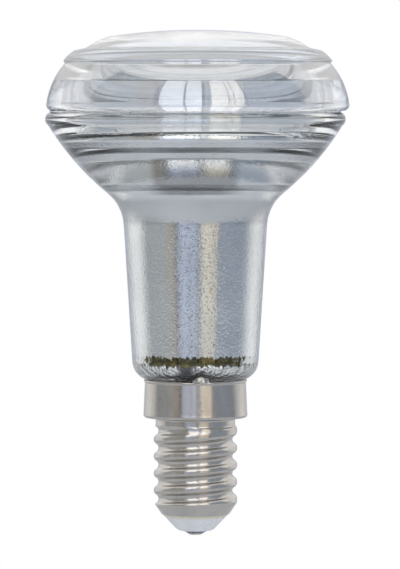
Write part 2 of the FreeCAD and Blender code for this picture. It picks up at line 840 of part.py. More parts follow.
def rim_solder():
    """The blob of solder on the collar's rim, moulded against the glass shoulder above it."""
    blob = doc.addObject("Part::Ellipsoid", "rim_solder_blob")
    bind(blob, "Radius1", s.rim_solder_half_height)
    bind(blob, "Radius2", s.rim_solder_half_width)
    bind(blob, "Radius3", s.rim_solder_half_depth)
    place(blob, s.side_lead_across, -(collar_radius + s.rim_solder_reach), collar_top_z)
    room = s.rim_solder_half_width * 2
    below = block("rim_solder_seat", room, room * 2, room)
    place(below, s.side_lead_across - room / 2, -(collar_radius + room), collar_top_z - room)
    shoulder = turned("shoulder_room", [
        (s.stem_radius, collar_top_z - s.slip_gap),
        (s.stem_radius + s.shoulder_step + s.slip_gap, collar_top_z - s.slip_gap),
        (s.stem_radius + s.shoulder_step + s.slip_gap, shoulder_z), Bulge(-SHOULDER_BULGE),
        (s.neck_foot_radius + s.slip_gap, neck_foot_z),
        (s.stem_radius, neck_foot_z),
    ])
    return cut("rim_solder", blob, below, shoulder)


def heat_spreader():
    """The drawn aluminium tray: a plate across the throat and a skirt down the neck."""
    skirt_foot_z = neck_top_z - s.spreader_skirt
    return turned("heat_spreader", [
        (s.wire_window, plate_foot_z),
        (skirt_radius - s.spreader_wall, plate_foot_z),
        (skirt_radius - s.spreader_wall, neck_top_z),
        (skirt_foot_radius - s.spreader_wall, skirt_foot_z),
        (skirt_foot_radius, skirt_foot_z),
        (skirt_radius, neck_top_z),
        (skirt_radius, plate_foot_z),
        (plate_radius, plate_foot_z),
        (plate_radius, pad_foot_z),
        (s.wire_window, pad_foot_z),
    ])


def thermal_pad():
    """The soft pad between the plate and the board."""
    radius = board_radius - s.pad_inset
    return turned("thermal_pad", [
        (s.wire_window, pad_foot_z),
        (radius, pad_foot_z),
        (radius, board_foot_z),
        (s.wire_window, board_foot_z),
    ])


def pin_places():
    """The two board pins' names and their places across the lamp."""
    return (("left", -s.pin_spacing / 2), ("right", s.pin_spacing / 2))


def pin_depth():
    """How far in front of the axis the pins stand, against the driver's face."""
    return driver_face - s.slip_gap - s.pin_radius


def led_board():
    """The round aluminium board, holed for the two pins."""
    disc = place(cylinder("board_disc", board_radius, s.board_thickness), up=board_foot_z)
    holes = []
    for side, across in pin_places():
        hole = cylinder(f"board_hole_{side}", s.pin_radius + s.slip_gap, s.board_thickness * 3)
        holes.append(place(hole, across, pin_depth(), board_foot_z - s.board_thickness))
    return cut("led_board", disc, *holes)


def light_emitters():
    """The packages on the board, evenly spaced on a ring and turned to face outward."""
    packages = []
    count = int(DRIVING["led_count"])
    for i in range(count):
        label = f"led_{i + 1}"
        angle = 2 * math.pi * (i + 0.5) / count
        window = cylinder(f"{label}_window", s.led_window_radius, s.led_height)
        place(window, up=s.led_height - s.led_window_depth)
        package = cut(label, block(f"{label}_body", s.led_length, s.led_width, s.led_height), window)
        package.Placement.Rotation = FreeCAD.Rotation(FreeCAD.Vector(0, 0, 1), math.degrees(angle))
        across = led_ring_radius * math.cos(angle)
        packages.append(place(package, across, led_ring_radius * math.sin(angle), board_top_z))
    return packages


def board_pins():
    """The pins that carry the current from the driver up to the board, and their solder."""
    pieces = []
    for side, across in pin_places():
        pin = cylinder(f"board_pin_{side}", s.pin_radius, board_top_z + s.pin_stand - pin_foot_z)
        pieces.append(place(pin, across, pin_depth(), pin_foot_z))
        solder = turned(f"pin_solder_{side}", [
            (s.pin_radius + s.slip_gap, 0),
            (s.pin_radius + s.pin_solder_spread, 0), Bulge(SOLDER_BULGE),
            (s.pin_radius + s.slip_gap, s.pin_solder_rise),
        ])
        pieces.append(place(solder, across, pin_depth(), board_top_z))
    return pieces


def driver_sleeve():
    """The plastic sleeve round the driver, wide in the neck and narrow in the stem."""
    tail, wall = sleeve_tail_radius, s.sleeve_wall
    rise = wall / 2
    return turned("driver_sleeve", [
        (tail, sleeve_foot_z),
        (tail, sleeve_step_z),
        (sleeve_waist_radius, sleeve_waist_z),
        (sleeve_top_radius, neck_top_z),
        (sleeve_top_radius, sleeve_top_z),
        (sleeve_top_radius - wall, sleeve_top_z),
        (sleeve_top_radius - wall, neck_top_z),
        (sleeve_waist_radius - wall, sleeve_waist_z + rise),
        (tail - wall, sleeve_step_z + rise),
        (tail - wall, sleeve_foot_z),
    ])


def driver_half_width(radius):
    """Half the board width that the sleeve has room for, at the board's far face."""
    bore = radius - s.sleeve_wall
    return (bore * bore - driver_back * driver_back).root() - s.driver_slack


def beside_sleeve(half_width, depth):
    """How far across a driver piece stands when its far corner just clears the sleeve."""
    return (can_room * can_room - depth * depth).root() - half_width


def driver_board():
    """The driver's board: a wide head in the neck and a tail down through the stem."""
    tail = driver_half_width(sleeve_tail_radius)
    foot = driver_half_width(sleeve_waist_radius)
    head = driver_half_width(sleeve_top_radius)
    body = new_body("driver_board")
    pad = body.newObject("PartDesign::Pad", "driver_board_pad")
    pad.Profile = outline_sketch(body, "driver_board_outline", [
        (-tail, driver_foot_z), (tail, driver_foot_z), (tail, driver_step_z), (foot, driver_step_z),
        (head, driver_top_z), (-head, driver_top_z), (-foot, driver_step_z), (-tail, driver_step_z),
    ])
    bind(pad, "Length", s.driver_thickness)
    pad.Reversed = True
    body.Tip = pad
    return place(body, depth=driver_face)


def can(label, radius, height):
    """An electrolytic can with its crimped groove and rounded top edge."""
    crimp_z = s.crimp_height
    reach = s.crimp_depth * 2
    return turned(label, [
        (0, 0),
        (radius, 0),
        (radius, crimp_z - reach), Bulge(CORNER_BULGE),
        (radius, crimp_z + reach),
        (radius, height - reach), Bulge(-CORNER_BULGE),
        (radius - reach, height),
        (0, height),
    ])


def driver_cans():
    """The input and output capacitors, side by side against the board's face.

    The input one takes the room between the board and the sleeve, less its play, and reaches
    up to the choke.
    """
    capacitor_radius = (can_room + driver_face) / 2 - s.capacitor_play
    capacitor_height = choke_z - s.choke_radius - s.capacitor_headroom - can_foot_z
    cans = []
    for label, radius, height, side in (
        ("smoothing_capacitor", capacitor_radius, capacitor_height, 1),
        ("output_capacitor", s.output_radius, s.output_height, -1),
    ):
        depth = driver_face - s.slip_gap - radius
        room = can_room - radius
        across = (room * room - depth * depth).root() * side
        cans.append(place(can(label, radius, height), across, depth, can_foot_z))
    return cans


def driver_choke():
    """The choke's ferrite drum and its winding, standing out from the board's face."""
    drum = turned("choke_core", [
        (0, 0),
        (s.choke_radius, 0),
        (s.choke_radius, s.choke_flange),
        (s.choke_core_radius, s.choke_flange),
        (s.choke_core_radius, s.choke_height - s.choke_flange),
        (s.choke_radius, s.choke_height - s.choke_flange),
        (s.choke_radius, s.choke_height),
        (0, s.choke_height),
    ])
    winding = turned("choke_winding", [
        (s.choke_core_radius + s.slip_gap, s.choke_flange + s.slip_gap),
        (s.choke_radius - s.loose_gap, s.choke_flange + s.slip_gap),
        (s.choke_radius - s.loose_gap, s.choke_height - s.choke_flange - s.slip_gap),
        (s.choke_core_radius + s.slip_gap, s.choke_height - s.choke_flange - s.slip_gap),
    ])
    depth = driver_face - s.slip_gap
    across = beside_sleeve(s.choke_radius, s.choke_height - depth)
    for piece in (drum, winding):
        piece.Placement.Rotation = FreeCAD.Rotation(FreeCAD.Vector(1, 0, 0), 90)
        place(piece, -across, depth, choke_z)
    return [drum, winding]


def driver_chips():
    """The bridge rectifier and the controller, flat on the board's back."""
    chips = []
    for label, length, width, height, up in (
        ("bridge_rectifier", s.bridge_length, s.bridge_width, s.bridge_height, driver_foot_z + s.bridge_rise),
        ("driver_chip", s.chip_length, s.chip_width, s.chip_height, driver_step_z + s.chip_rise),
    ):
        chip = block(label, width, height, length)
        chips.append(place(chip, -width / 2, driver_back, up))
    return chips


def fusible_resistor():
    """The resistor on its own two leads, from the eyelet's bore up to the driver's face."""
    foot_z = nose_z + s.insulator_floor + s.shank_wall + s.fuse_rise
    top_z = foot_z + s.fuse_length
    corner = s.loose_gap
    return turned("fusible_resistor", [
        (0, plug_top_z + s.slip_gap),
        (s.lead_radius, plug_top_z + s.slip_gap),
        (s.lead_radius, foot_z),
        (s.fuse_radius - corner, foot_z), Bulge(-CORNER_BULGE),
        (s.fuse_radius, foot_z + corner),
        (s.fuse_radius, top_z - corner), Bulge(-CORNER_BULGE),
        (s.fuse_radius - corner, top_z),
        (s.lead_radius, top_z),
        (s.lead_radius, driver_foot_z + s.lead_overlap),
        (0, driver_foot_z + s.lead_overlap),
    ])


def all_pieces():
    """Every piece of the lamp, from the lens down to the tip."""
    return [
        front_lens(), lens_seal(), glass_reflector(),
        heat_spreader(), thermal_pad(), led_board(), *light_emitters(), *board_pins(),
        driver_sleeve(), driver_board(), *driver_cans(), *driver_choke(), *driver_chips(),
        fusible_resistor(), side_lead(), basing_cement(), rim_solder(),
        screw_cap(), cap_insulator(), centre_contact(), contact_solder(),
    ]


def check_and_write(pieces):
    """Writes each piece's file once every object has built and every piece is one valid shape."""
    doc.recompute()
    for item in doc.Objects:
        if {"Invalid", "Error"} & set(item.State):
            raise ValueError(f"{item.Name} didn't build: {item.State}")
    for piece in pieces:
        if piece.Shape.isNull() or not piece.Shape.isValid() or piece.Shape.Volume <= 0:
            raise ValueError(f"{piece.Label} has no valid solid")
    os.makedirs("parts", exist_ok=True)
    for piece in pieces:
        piece.Shape.exportStep(f"parts/{piece.Label}.step")
    print(f"wrote {len(pieces)} pieces")


check_and_write(all_pieces())
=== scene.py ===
import math

import bmesh
import bpy
import numpy as np
from bpy.props import FloatProperty, FloatVectorProperty, PointerProperty
from bpy.types import Operator, Panel, PropertyGroup
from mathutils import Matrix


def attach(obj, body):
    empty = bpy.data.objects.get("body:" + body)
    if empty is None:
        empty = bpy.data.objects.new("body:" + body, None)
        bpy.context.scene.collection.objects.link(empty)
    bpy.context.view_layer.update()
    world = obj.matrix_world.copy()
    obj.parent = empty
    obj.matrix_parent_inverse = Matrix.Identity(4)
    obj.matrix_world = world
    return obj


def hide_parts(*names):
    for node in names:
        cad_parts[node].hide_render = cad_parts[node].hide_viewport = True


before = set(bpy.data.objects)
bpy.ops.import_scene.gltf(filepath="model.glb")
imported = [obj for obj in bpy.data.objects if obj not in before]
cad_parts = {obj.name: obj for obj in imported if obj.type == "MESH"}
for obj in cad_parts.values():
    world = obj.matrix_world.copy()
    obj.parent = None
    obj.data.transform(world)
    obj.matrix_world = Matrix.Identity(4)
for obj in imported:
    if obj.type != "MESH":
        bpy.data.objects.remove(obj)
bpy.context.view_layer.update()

bl_info = {
    "name": "Reflector bulb",
    "version": (1, 0, 0),
    "blender": (4, 5, 0),
    "location": "3D View > Sidebar > Bulb",
    "description": "Makes the visible pieces, the finishes and the studio of a reflector bulb",
    "category": "Object",
}

MM = 0.001


# Sizes and colours that a user would change

def length(name, description, millimetres):
    """A length property, given in millimetres and kept in metres."""
    return FloatProperty(
        name=name, description=description, default=millimetres * MM, unit="LENGTH", precision=5,
    )


def point(name, description, radius, height):
    """A point of a half section: its radius and its height, given in millimetres."""
    return FloatVectorProperty(
        name=name, description=description, size=2, default=(radius * MM, height * MM),
        unit="LENGTH", precision=5,
    )


def angle(name, description, degrees):
    """An angle property, given in degrees."""
    return FloatProperty(name=name, description=description, default=math.radians(degrees), unit="ROTATION")


def colour(name, description, red, green, blue):
    """A colour property, in linear light."""
    return FloatVectorProperty(
        name=name, description=description, size=3, default=(red, green, blue), min=0, max=4, subtype="COLOR",
    )


class LensSizes(PropertyGroup):
    """The half section of the clear front lens."""

    offset: length("Offset", "How far to one side of the axis the lens is glued on", 0.4)
    apex: point("Apex", "Top of the crown, on the axis", 0, 83.6)
    crown_edge: point("Crown edge", "Where the flat crown turns down", 14.6, 82.5)
    dome_foot: point("Dome foot", "Where the dome meets the flange", 18.4, 80.65)
    flange: point("Flange", "Outer edge of the flange round the dome", 20.3, 80.25)
    ridge: point("Ridge", "The ridge over the skirt's waist", 22.25, 78.45)
    waist: point("Waist", "Top of the belled skirt", 21.95, 78.1)
    wide: point("Widest", "Widest part of the skirt", 25.0, 71.6)
    foot: point("Foot", "Outer edge of the foot on the glue", 24.4, 70.25)
    skirt_bore: point("Skirt bore", "Inner edge of the foot", 22.9, 70.25)
    roof: point("Roof", "Outer end of the groove's roof", 22.4, 74.95)
    spigot_roof: point("Spigot root", "Inner end of the groove's roof", 21.15, 74.95)
    spigot_foot: point("Spigot foot", "Outer lower edge of the spigot", 21.15, 67.6)
    spigot_bore: point("Spigot bore", "Inner lower edge of the spigot", 19.85, 67.6)
    belly_edge: point("Belly edge", "Where the spigot meets the belly", 19.85, 78.0)
    belly_middle: point("Belly middle", "Lowest point of the belly, on the axis", 0, 77.05)
    round: length("Edge round", "Reach of the rounding on moulded edges", 0.16)


class GlassSizes(PropertyGroup):
    """The half section of the pressed glass reflector and the reach of its silver."""

    stem_foot: point("Stem foot", "Outer lower edge of the stem", 7.7, 21.25)
    stem_top: point("Stem top", "Top of the stem", 7.7, 25.85)
    shoulder: point("Shoulder", "Inner end of the shoulder over the cap", 8.35, 25.85)
    neck_foot: point("Neck foot", "Foot of the neck", 10.46, 28.6)
    neck_top: point("Neck top", "Top of the neck", 11.86, 51.3)
    throat: point("Throat", "Where the flare meets the bowl", 14.15, 56.3)
    bowl_top: point("Bowl top", "Widest part of the bowl", 24.3, 67.8)
    rim: point("Rim", "Outer edge of the flat rim", 24.1, 70.0)
    mouth: point("Mouth", "Inner edge of the flat rim", 21.6, 70.0)
    mouth_foot: point("Mouth foot", "Lower end of the straight mouth", 21.6, 66.95)
    turn_foot: point("Turn foot", "Lower end of the turn under the mouth", 21.45, 65.85)
    high_ring: point("High ring", "Outer edge of the high ring's ledge", 20.43, 64.7)
    high_ledge: point("High ledge", "Inner edge of the high ring's ledge", 17.63, 64.7)
    bead_top: point("Bead top", "Upper edge of the upright bead", 16.54, 63.6)
    bead_foot: point("Bead foot", "Lower edge of the upright bead", 15.145, 58.99)
    low_ring: point("Low ring", "Inner edge of the low ring's ledge", 13.555, 57.89)
    flare_top: point("Flare top", "Top of the flare on the inside", 12.33, 55.95)
    neck_top_bore: point("Neck top bore", "Top of the neck on the inside", 10.76, 51.3)
    neck_foot_bore: point("Neck foot bore", "Foot of the neck on the inside", 9.36, 28.6)
    shoulder_bore: point("Shoulder bore", "The shoulder on the inside", 7.7, 26.95)
    stem_bore: point("Stem bore", "Top of the stem's bore", 6.6, 25.9)
    stem_bore_foot: point("Stem bore foot", "Lower end of the stem's bore", 6.6, 21.25)
    silver_foot: length("Silver foot", "Height of the silver's lower edge", 25.95)
    silver_top: length("Silver top", "Mean height of the silver's upper edge", 66.9)
    edge_tilt: length("Edge tilt", "How much lower the silver's upper edge is on one side", 0.3)
    edge_wave: length("Edge wave", "How far the silver's upper edge waves", 0.07)


class CapSizes(PropertyGroup):
    """The half section and the thread of the rolled cap."""

    mouth: point("Mouth", "Edge round the insulator", 5.62, 3.45)
    cone_top: point("Cone top", "Foot of the thread", 6.925, 5.35)
    thread_top: point("Thread top", "Upper end of the thread", 6.925, 17.8)
    land_foot: point("Land foot", "Lower end of the plain land", 6.6, 18.145)
    land_top: point("Land top", "Upper end of the plain land", 6.6, 19.35)
    ledge: point("Ledge", "Outer end of the collar's ledge", 8.3, 19.5)
    collar_foot: point("Collar foot", "Foot of the collar's wall", 8.6, 20.2)
    collar_top: point("Collar top", "Where the lip starts", 8.38, 25.35)
    lip: point("Lip", "Outer upper edge of the lip", 8.42, 25.8)
    sheet: length("Sheet", "Thickness of the rolled sheet", 0.3)
    crest: length("Crest", "Radius of the thread's crest", 6.945)
    depth: length("Depth", "Depth of the thread", 0.8)
    pitch: length("Pitch", "Rise of the thread in one turn", 2.822)
    start: length("Start", "Height of the first groove's middle at the start of its helix", 4.53)
    turns: FloatProperty(name="Turns", description="Turns of the groove", default=4.9, min=1)


class StudioSizes(PropertyGroup):
    """The windows, the room, the floor and the light."""

    distance: length("Distance", "How far the windows stand from the bulb", 1200)
    foot: length("Window foot", "Height of the windows' lower edge", -260)
    head: length("Window head", "Height of the windows' upper edge", 1500)
    floor_drop: length("Floor drop", "How far the floor lies under the bulb", 60)
    floor_reach: length("Floor reach", "Radius of the floor", 420)
    cool_start: angle("Cool window start", "Azimuth of the cool window's left edge", -31)
    cool_end: angle("Cool window end", "Azimuth of the cool window's right edge", 4)
    warm_start: angle("Warm window start", "Azimuth of the warm window's left edge", 11)
    warm_end: angle("Warm window end", "Azimuth of the warm window's right edge", 37)
    cool_light: colour("Cool light", "What the cool window gives", 1.18, 1.30, 1.62)
    warm_light: colour("Warm light", "What the warm window gives", 1.72, 1.58, 1.33)
    frame_shade: colour("Frame shade", "Colour of the window bars", 0.02, 0.022, 0.03)
    left_wall: colour("Left wall", "Light from the room's left side", 0.45, 0.48, 0.49)
    right_wall: colour("Right wall", "Light from the room's right side", 0.36, 0.41, 0.49)
    back_wall: colour("Back wall", "Light from the low wall behind, for glass and metal", 0.64, 0.67, 0.74)
    back_head: length("Back wall head", "Height of the low wall behind", 450)
    floor_shade: colour("Floor shade", "Colour of the floor", 0.67, 0.69, 0.73)
    fill: FloatProperty(name="Fill", description="Level of the light from all round", default=0.7, min=0)
    camera_away: length("Camera distance", "How far the camera stands from the bulb", 750)
    camera_height: length("Camera height", "Height of the camera over the tip", 75)
    aim_across: length("Aim across", "How far to the right of the axis the camera aims", 0.76)
    aim_height: length("Aim height", "Height that the camera aims at", 41.5)
    frame_height: length("Frame height", "Height of the picture at the bulb", 94.2)


class FinishColours(PropertyGroup):
    """Main colours of the finishes."""

    lens: colour("Lens plastic", "Tint of the clear plastic", 0.965, 0.975, 0.99)
    # Painted light: the flange's blue tint stands in for the blue-grey light that the band shows
    flange: colour("Lens flange", "Tint of the plastic on the flange", 0.76, 0.85, 0.99)
    glass: colour("Glass", "Tint of the clear glass", 0.965, 0.98, 0.975)
    silver: colour("Silver", "Colour of the silver coat", 0.78, 0.79, 0.80)
    scorch: colour("Bare ring", "Colour of the ring that the coat leaves bare", 0.15, 0.125, 0.04)
    nickel: colour("Nickel", "Colour of the plated cap", 0.565, 0.535, 0.50)
    insulator: colour("Insulator", "Colour of the insulator", 0.82, 0.83, 0.85)
    solder: colour("Solder", "Colour of the solder", 0.62, 0.60, 0.56)
    brass: colour("Brass", "Colour of the contact", 0.13, 0.13, 0.17)


# Outlines and surfaces

# Steps to a radian of an arc, and the largest share of a run that the rounding of one end may take
ARC_STEPS, ROUNDING_SHARE = 24, 0.45


def arc(start, end, bulge, steps):
    """Points of an arc from start to end.

    The arc's height over its chord is the bulge times the chord, to the left of travel. With half
    the arc's angle h, tan(h / 2) is twice the bulge; at a turn t from -h to h a point lies
    (1 + sin t / sin h) / 2 of the way along the chord and (cos t - cos h) / (2 sin h) out from it.
    """
    chord = end - start
    half = 2 * math.atan(2 * bulge)
    turn = np.linspace(-half, half, steps)[:, None]
    along = (1 + np.sin(turn) / math.sin(half)) / 2
    out = (np.cos(turn) - math.cos(half)) / (2 * math.sin(half))
    return start + along * chord + out * np.array([-chord[1], chord[0]])


def dome_bulge(radius, rise):
    """Bulge of an arc that is level at the axis: the chord less the radius, over twice the rise."""
    chord = math.hypot(radius, rise)
    return (chord - radius) / (2 * rise)


def trimmed(run, from_start, from_end, guard):
    """A run of points with a length taken off each end, and a point just inside each new end."""
    steps = np.linalg.norm(np.diff(run, axis=0), axis=1)
    reach = np.concatenate([[0], np.cumsum(steps)])
    first, last = from_start, reach[-1] - from_end
    inner = reach[(reach > first + 1.5 * guard) & (reach < last - 1.5 * guard)]
    places = np.concatenate([[first, first + guard], inner, [last - guard, last]])
    return np.stack([np.interp(places, reach, run[:, 0]), np.interp(places, reach, run[:, 1])], axis=1)


def outline(stops, closed, step=0.5 * MM, bend_steps=5):
    """A smooth outline through stops of (point, bulge of the run after it, reach of its rounding).

    A run is straight or an arc. A corner's rounding is the quadratic curve between the two
    places that lie its reach before and after the corner, drawn towards the corner.
    """
    corners = [np.array(stop[0], float) for stop in stops]
    count = len(corners)
    runs = []
    for i in range(count if closed else count - 1):
        start, end = corners[i], corners[(i + 1) % count]
        span = float(np.linalg.norm(end - start))
        bulge = stops[i][1]
        if bulge:
            angle_of_arc = 4 * abs(math.atan(2 * bulge))
            steps = max(int(ARC_STEPS * angle_of_arc), int(span / step), 4)
            run = arc(start, end, bulge, steps)
        else:
            run = np.linspace(start, end, max(int(span / step), 2))
        limit = ROUNDING_SHARE * span
        guard = min(0.03 * MM, 0.1 * span)
        before = min(stops[i][2], limit)
        after = min(stops[(i + 1) % count][2], limit)
        if not closed:
            before = 0 if i == 0 else before
            after = 0 if i == count - 2 else after
        runs.append(trimmed(run, before, after, guard))
    bend = np.linspace(0, 1, bend_steps)[1:-1, None]
    parts = []
    for i, run in enumerate(runs):
        parts.append(run)
        if not closed and i == len(runs) - 1:
            break
        corner, onward = corners[(i + 1) % count], runs[(i + 1) % len(runs)][0]
        if np.linalg.norm(onward - run[-1]) < 1e-9:
            parts[-1] = run[:-1]
            continue
        parts.append((1 - bend) ** 2 * run[-1] + 2 * bend * (1 - bend) * corner + bend ** 2 * onward)
    return np.concatenate(parts)


def turned_grid(section, around):
    """Turns a half section about the axis: (r cos a, r sin a, z) for each angle a in the round."""
    turn = np.linspace(0, 2 * math.pi, around, endpoint=False)
    radius, height = section[:, 0, None], section[:, 1, None]
    level = np.broadcast_to(height, (len(section), around))
    return np.stack([radius * np.cos(turn), radius * np.sin(turn), level], axis=2)


def grid_faces(rows, columns, wrap_rows, wrap_columns):
    """The four corners of each face of a grid, joined up at its seams where it wraps."""
    row = np.arange(rows if wrap_rows else rows - 1)[:, None]
    column = np.arange(columns if wrap_columns else columns - 1)[None, :]
    next_row, next_column = (row + 1) % rows, (column + 1) % columns
    corners = [row * columns + column, row * columns + next_column,
               next_row * columns + next_column, next_row * columns + column]
    return np.stack(np.broadcast_arrays(*corners), axis=2).reshape(-1, 4)


def enclosed(points, faces):
    """Six times the volume inside the faces: positive where they point outwards.

    It adds up the triple product of the three corners of each half of each face.
    """
    a, b, c, d = (points[faces[:, i]] for i in range(4))
    return float(np.sum(np.cross(b, c) * a) + np.sum(np.cross(c, d) * a))


def surface(name, grid, wrap_rows=False, wrap_columns=True, sharp=None):
    """An object whose mesh is a grid of points, with poles merged and faces turned outwards."""
    rows, columns = grid.shape[:2]
    points = grid.reshape(-1, 3)
    faces = grid_faces(rows, columns, wrap_rows, wrap_columns)
    if (wrap_rows or wrap_columns) and enclosed(points, faces) < 0:
        faces = faces[:, ::-1]
    mesh = bpy.data.meshes.new(name)
    mesh.from_pydata(points.tolist(), [], faces.tolist())
    work = bmesh.new()
    work.from_mesh(mesh)
    bmesh.ops.remove_doubles(work, verts=work.verts, dist=1e-7)
    work.to_mesh(mesh)
    work.free()
    mesh.shade_smooth()
    if sharp:
        mesh.set_sharp_from_angle(angle=math.radians(sharp))
    made = bpy.data.objects.new(name, mesh)
    bpy.context.scene.collection.objects.link(made)
    return made


def dress(piece, finish, slot=None):
    """Gives a piece its material, and where a slot is given, as for new pieces, hangs it under the root body.
    """
    piece.data.materials.clear()
    piece.data.materials.append(finish)
    if slot:
        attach(piece, "root")
    return piece


def repaint(names, finish):
    """Gives carried-over nodes a finish in place of their plain colour."""
    for name in names:
        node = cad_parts[name]
        if not node.material_slots:
            node.data.materials.append(finish)
        for place in node.material_slots:
            place.material = finish


# Node trees

WHITE, BLACK = (1.0, 1.0, 1.0), (0.0, 0.0, 0.0)
VECTOR, FLOAT, COLOUR = "NodeSocketVector", "NodeSocketFloat", "NodeSocketColor"


def add(tree, kind, inputs=None, **settings):
    """Adds a node, sets its properties, and sets or joins its inputs by name or number."""
    node = tree.nodes.new(kind)
    for name, value in settings.items():
        setattr(node, name, value)
    for key, value in (inputs or {}).items():
        if isinstance(value, bpy.types.NodeSocket):
            tree.links.new(value, node.inputs[key])
        else:
            node.inputs[key].default_value = value
    return node


def sums(tree, operation, *values):
    """A Math node's result."""
    return add(tree, "ShaderNodeMath", dict(enumerate(values)), operation=operation).outputs[0]


def chain(tree, operation, *values):
    """Several values joined one after the other by the same operation."""
    result = values[0]
    for value in values[1:]:
        result = sums(tree, operation, result, value)
    return result


def product(tree, *values):
    """The product of several values."""
    return chain(tree, "MULTIPLY", *values)


def largest(tree, *values):
    """The largest of several values."""
    return chain(tree, "MAXIMUM", *values)


def hypotenuse(tree, first, second):
    """The root of the sum of two squares."""
    return sums(tree, "SQRT", sums(tree, "ADD", product(tree, first, first), product(tree, second, second)))


def fade(tree, value, low, high, to_low=0.0, to_high=1.0):
    """Carries a value smoothly from one range to another."""
    inputs = {"Value": value, "From Min": low, "From Max": high, "To Min": to_low, "To Max": to_high}
    return add(tree, "ShaderNodeMapRange", inputs, interpolation_type="SMOOTHSTEP").outputs[0]


def opaque(value):
    """A colour of three numbers with a fourth, and anything else as it is."""
    return (*value, 1) if isinstance(value, tuple) and len(value) == 3 else value


def blend(tree, mask, first, second):
    """Mixes two colours by a mask."""
    inputs = {0: mask, 6: opaque(first), 7: opaque(second)}
    return add(tree, "ShaderNodeMix", inputs, data_type="RGBA").outputs[2]


def blend_values(tree, mask, first, second):
    """Mixes two plain values by a mask."""
    return add(tree, "ShaderNodeMix", {0: mask, 2: first, 3: second}).outputs[0]


def noise(tree, vector, scale, detail=2.0, rough=0.5, distortion=0.0):
    """A noise texture's value."""
    return add(tree, "ShaderNodeTexNoise", {
        "Vector": vector, "Scale": scale, "Detail": detail, "Roughness": rough, "Distortion": distortion,
    }).outputs[0]


def stretched(tree, vector, scale):
    """A vector stretched along its axes."""
    return add(tree, "ShaderNodeMapping", {"Vector": vector, "Scale": scale}).outputs[0]


def effect(name, inputs, outputs):
    """An empty node group, with the sockets that its inputs give and its outputs take."""
    group = bpy.data.node_groups.new(name, "ShaderNodeTree")
    for label, kind, value in inputs:
        socket = group.interface.new_socket(name=label, in_out="INPUT", socket_type=kind)
        if value is not None:
            socket.default_value = value
    for label, kind in outputs:
        group.interface.new_socket(name=label, in_out="OUTPUT", socket_type=kind)
    return group, add(group, "NodeGroupInput").outputs, add(group, "NodeGroupOutput").inputs


def use(tree, group_name, inputs):
    """Places a shared effect in a material and gives its outputs."""
    return add(tree, "ShaderNodeGroup", inputs, node_tree=bpy.data.node_groups[group_name]).outputs


def make_ripple():
    """Fine and coarse waves of a surface, as a height and a mask of the crests."""
    group, given, result = effect(
        "ripple",
        [("Vector", VECTOR, None), ("Fine Scale", FLOAT, 1500.0), ("Coarse Scale", FLOAT, 300.0),
         ("Fine Share", FLOAT, 0.5)],
        [("Height", FLOAT), ("Crests", FLOAT)],
    )
    fine = noise(group, given["Vector"], given["Fine Scale"], 2.0, 0.6)
    coarse = noise(group, given["Vector"], given["Coarse Scale"], 1.0, 0.4, 0.4)
    coarse_share = sums(group, "SUBTRACT", 1.0, given["Fine Share"])
    fine, coarse = product(group, fine, given["Fine Share"]), product(group, coarse, coarse_share)
    height = sums(group, "ADD", fine, coarse)
    group.links.new(height, result["Height"])
    group.links.new(fade(group, height, 0.45, 0.62), result["Crests"])


def make_ragged_band():
    """A level band between two heights, with ragged edges."""
    group, given, result = effect(
        "ragged_band",
        [("Vector", VECTOR, None), ("Foot", FLOAT, 0.0), ("Head", FLOAT, 0.01), ("Softness", FLOAT, 0.0003),
         ("Raggedness", FLOAT, 0.0005), ("Grain Scale", FLOAT, 1200.0)],
        [("Mask", FLOAT)],
    )
    height = add(group, "ShaderNodeSeparateXYZ", {0: given["Vector"]}).outputs[2]
    grain = noise(group, stretched(group, given["Vector"], (1, 1, 0.35)), given["Grain Scale"], 2.0, 0.65)
    shift = product(group, sums(group, "SUBTRACT", grain, 0.5), given["Raggedness"])
    height = sums(group, "ADD", height, shift)
    foot_end = sums(group, "ADD", given["Foot"], given["Softness"])
    head_end = sums(group, "ADD", given["Head"], given["Softness"])
    rise = fade(group, height, given["Foot"], foot_end)
    fall = fade(group, height, given["Head"], head_end, 1.0, 0.0)
    group.links.new(product(group, rise, fall), result["Mask"])


def make_speckle():
    """Scattered specks, as a mask."""
    group, given, result = effect(
        "speckle",
        [("Vector", VECTOR, None), ("Scale", FLOAT, 1500.0), ("Threshold", FLOAT, 0.62),
         ("Softness", FLOAT, 0.06)],
        [("Mask", FLOAT)],
    )
    grain = noise(group, given["Vector"], given["Scale"], 2.0, 0.6)
    end = sums(group, "ADD", given["Threshold"], given["Softness"])
    group.links.new(fade(group, grain, given["Threshold"], end), result["Mask"])


def make_mottle():
    """Cloudy change of a colour between two shades."""
    group, given, result = effect(
        "mottle",
        [("Vector", VECTOR, None), ("Scale", FLOAT, 400.0), ("Light", COLOUR, opaque(WHITE)),
         ("Dark", COLOUR, opaque(BLACK))],
        [("Color", COLOUR), ("Mask", FLOAT)],
    )
    mask = fade(group, noise(group, given["Vector"], given["Scale"], 3.0, 0.55, 0.3), 0.35, 0.68)
    group.links.new(blend(group, mask, given["Dark"], given["Light"]), result["Color"])
    group.links.new(mask, result["Mask"])


def shade(base, level):
    """A colour made lighter or darker."""
    return tuple(min(channel * level, 1) for channel in base) + (1,)


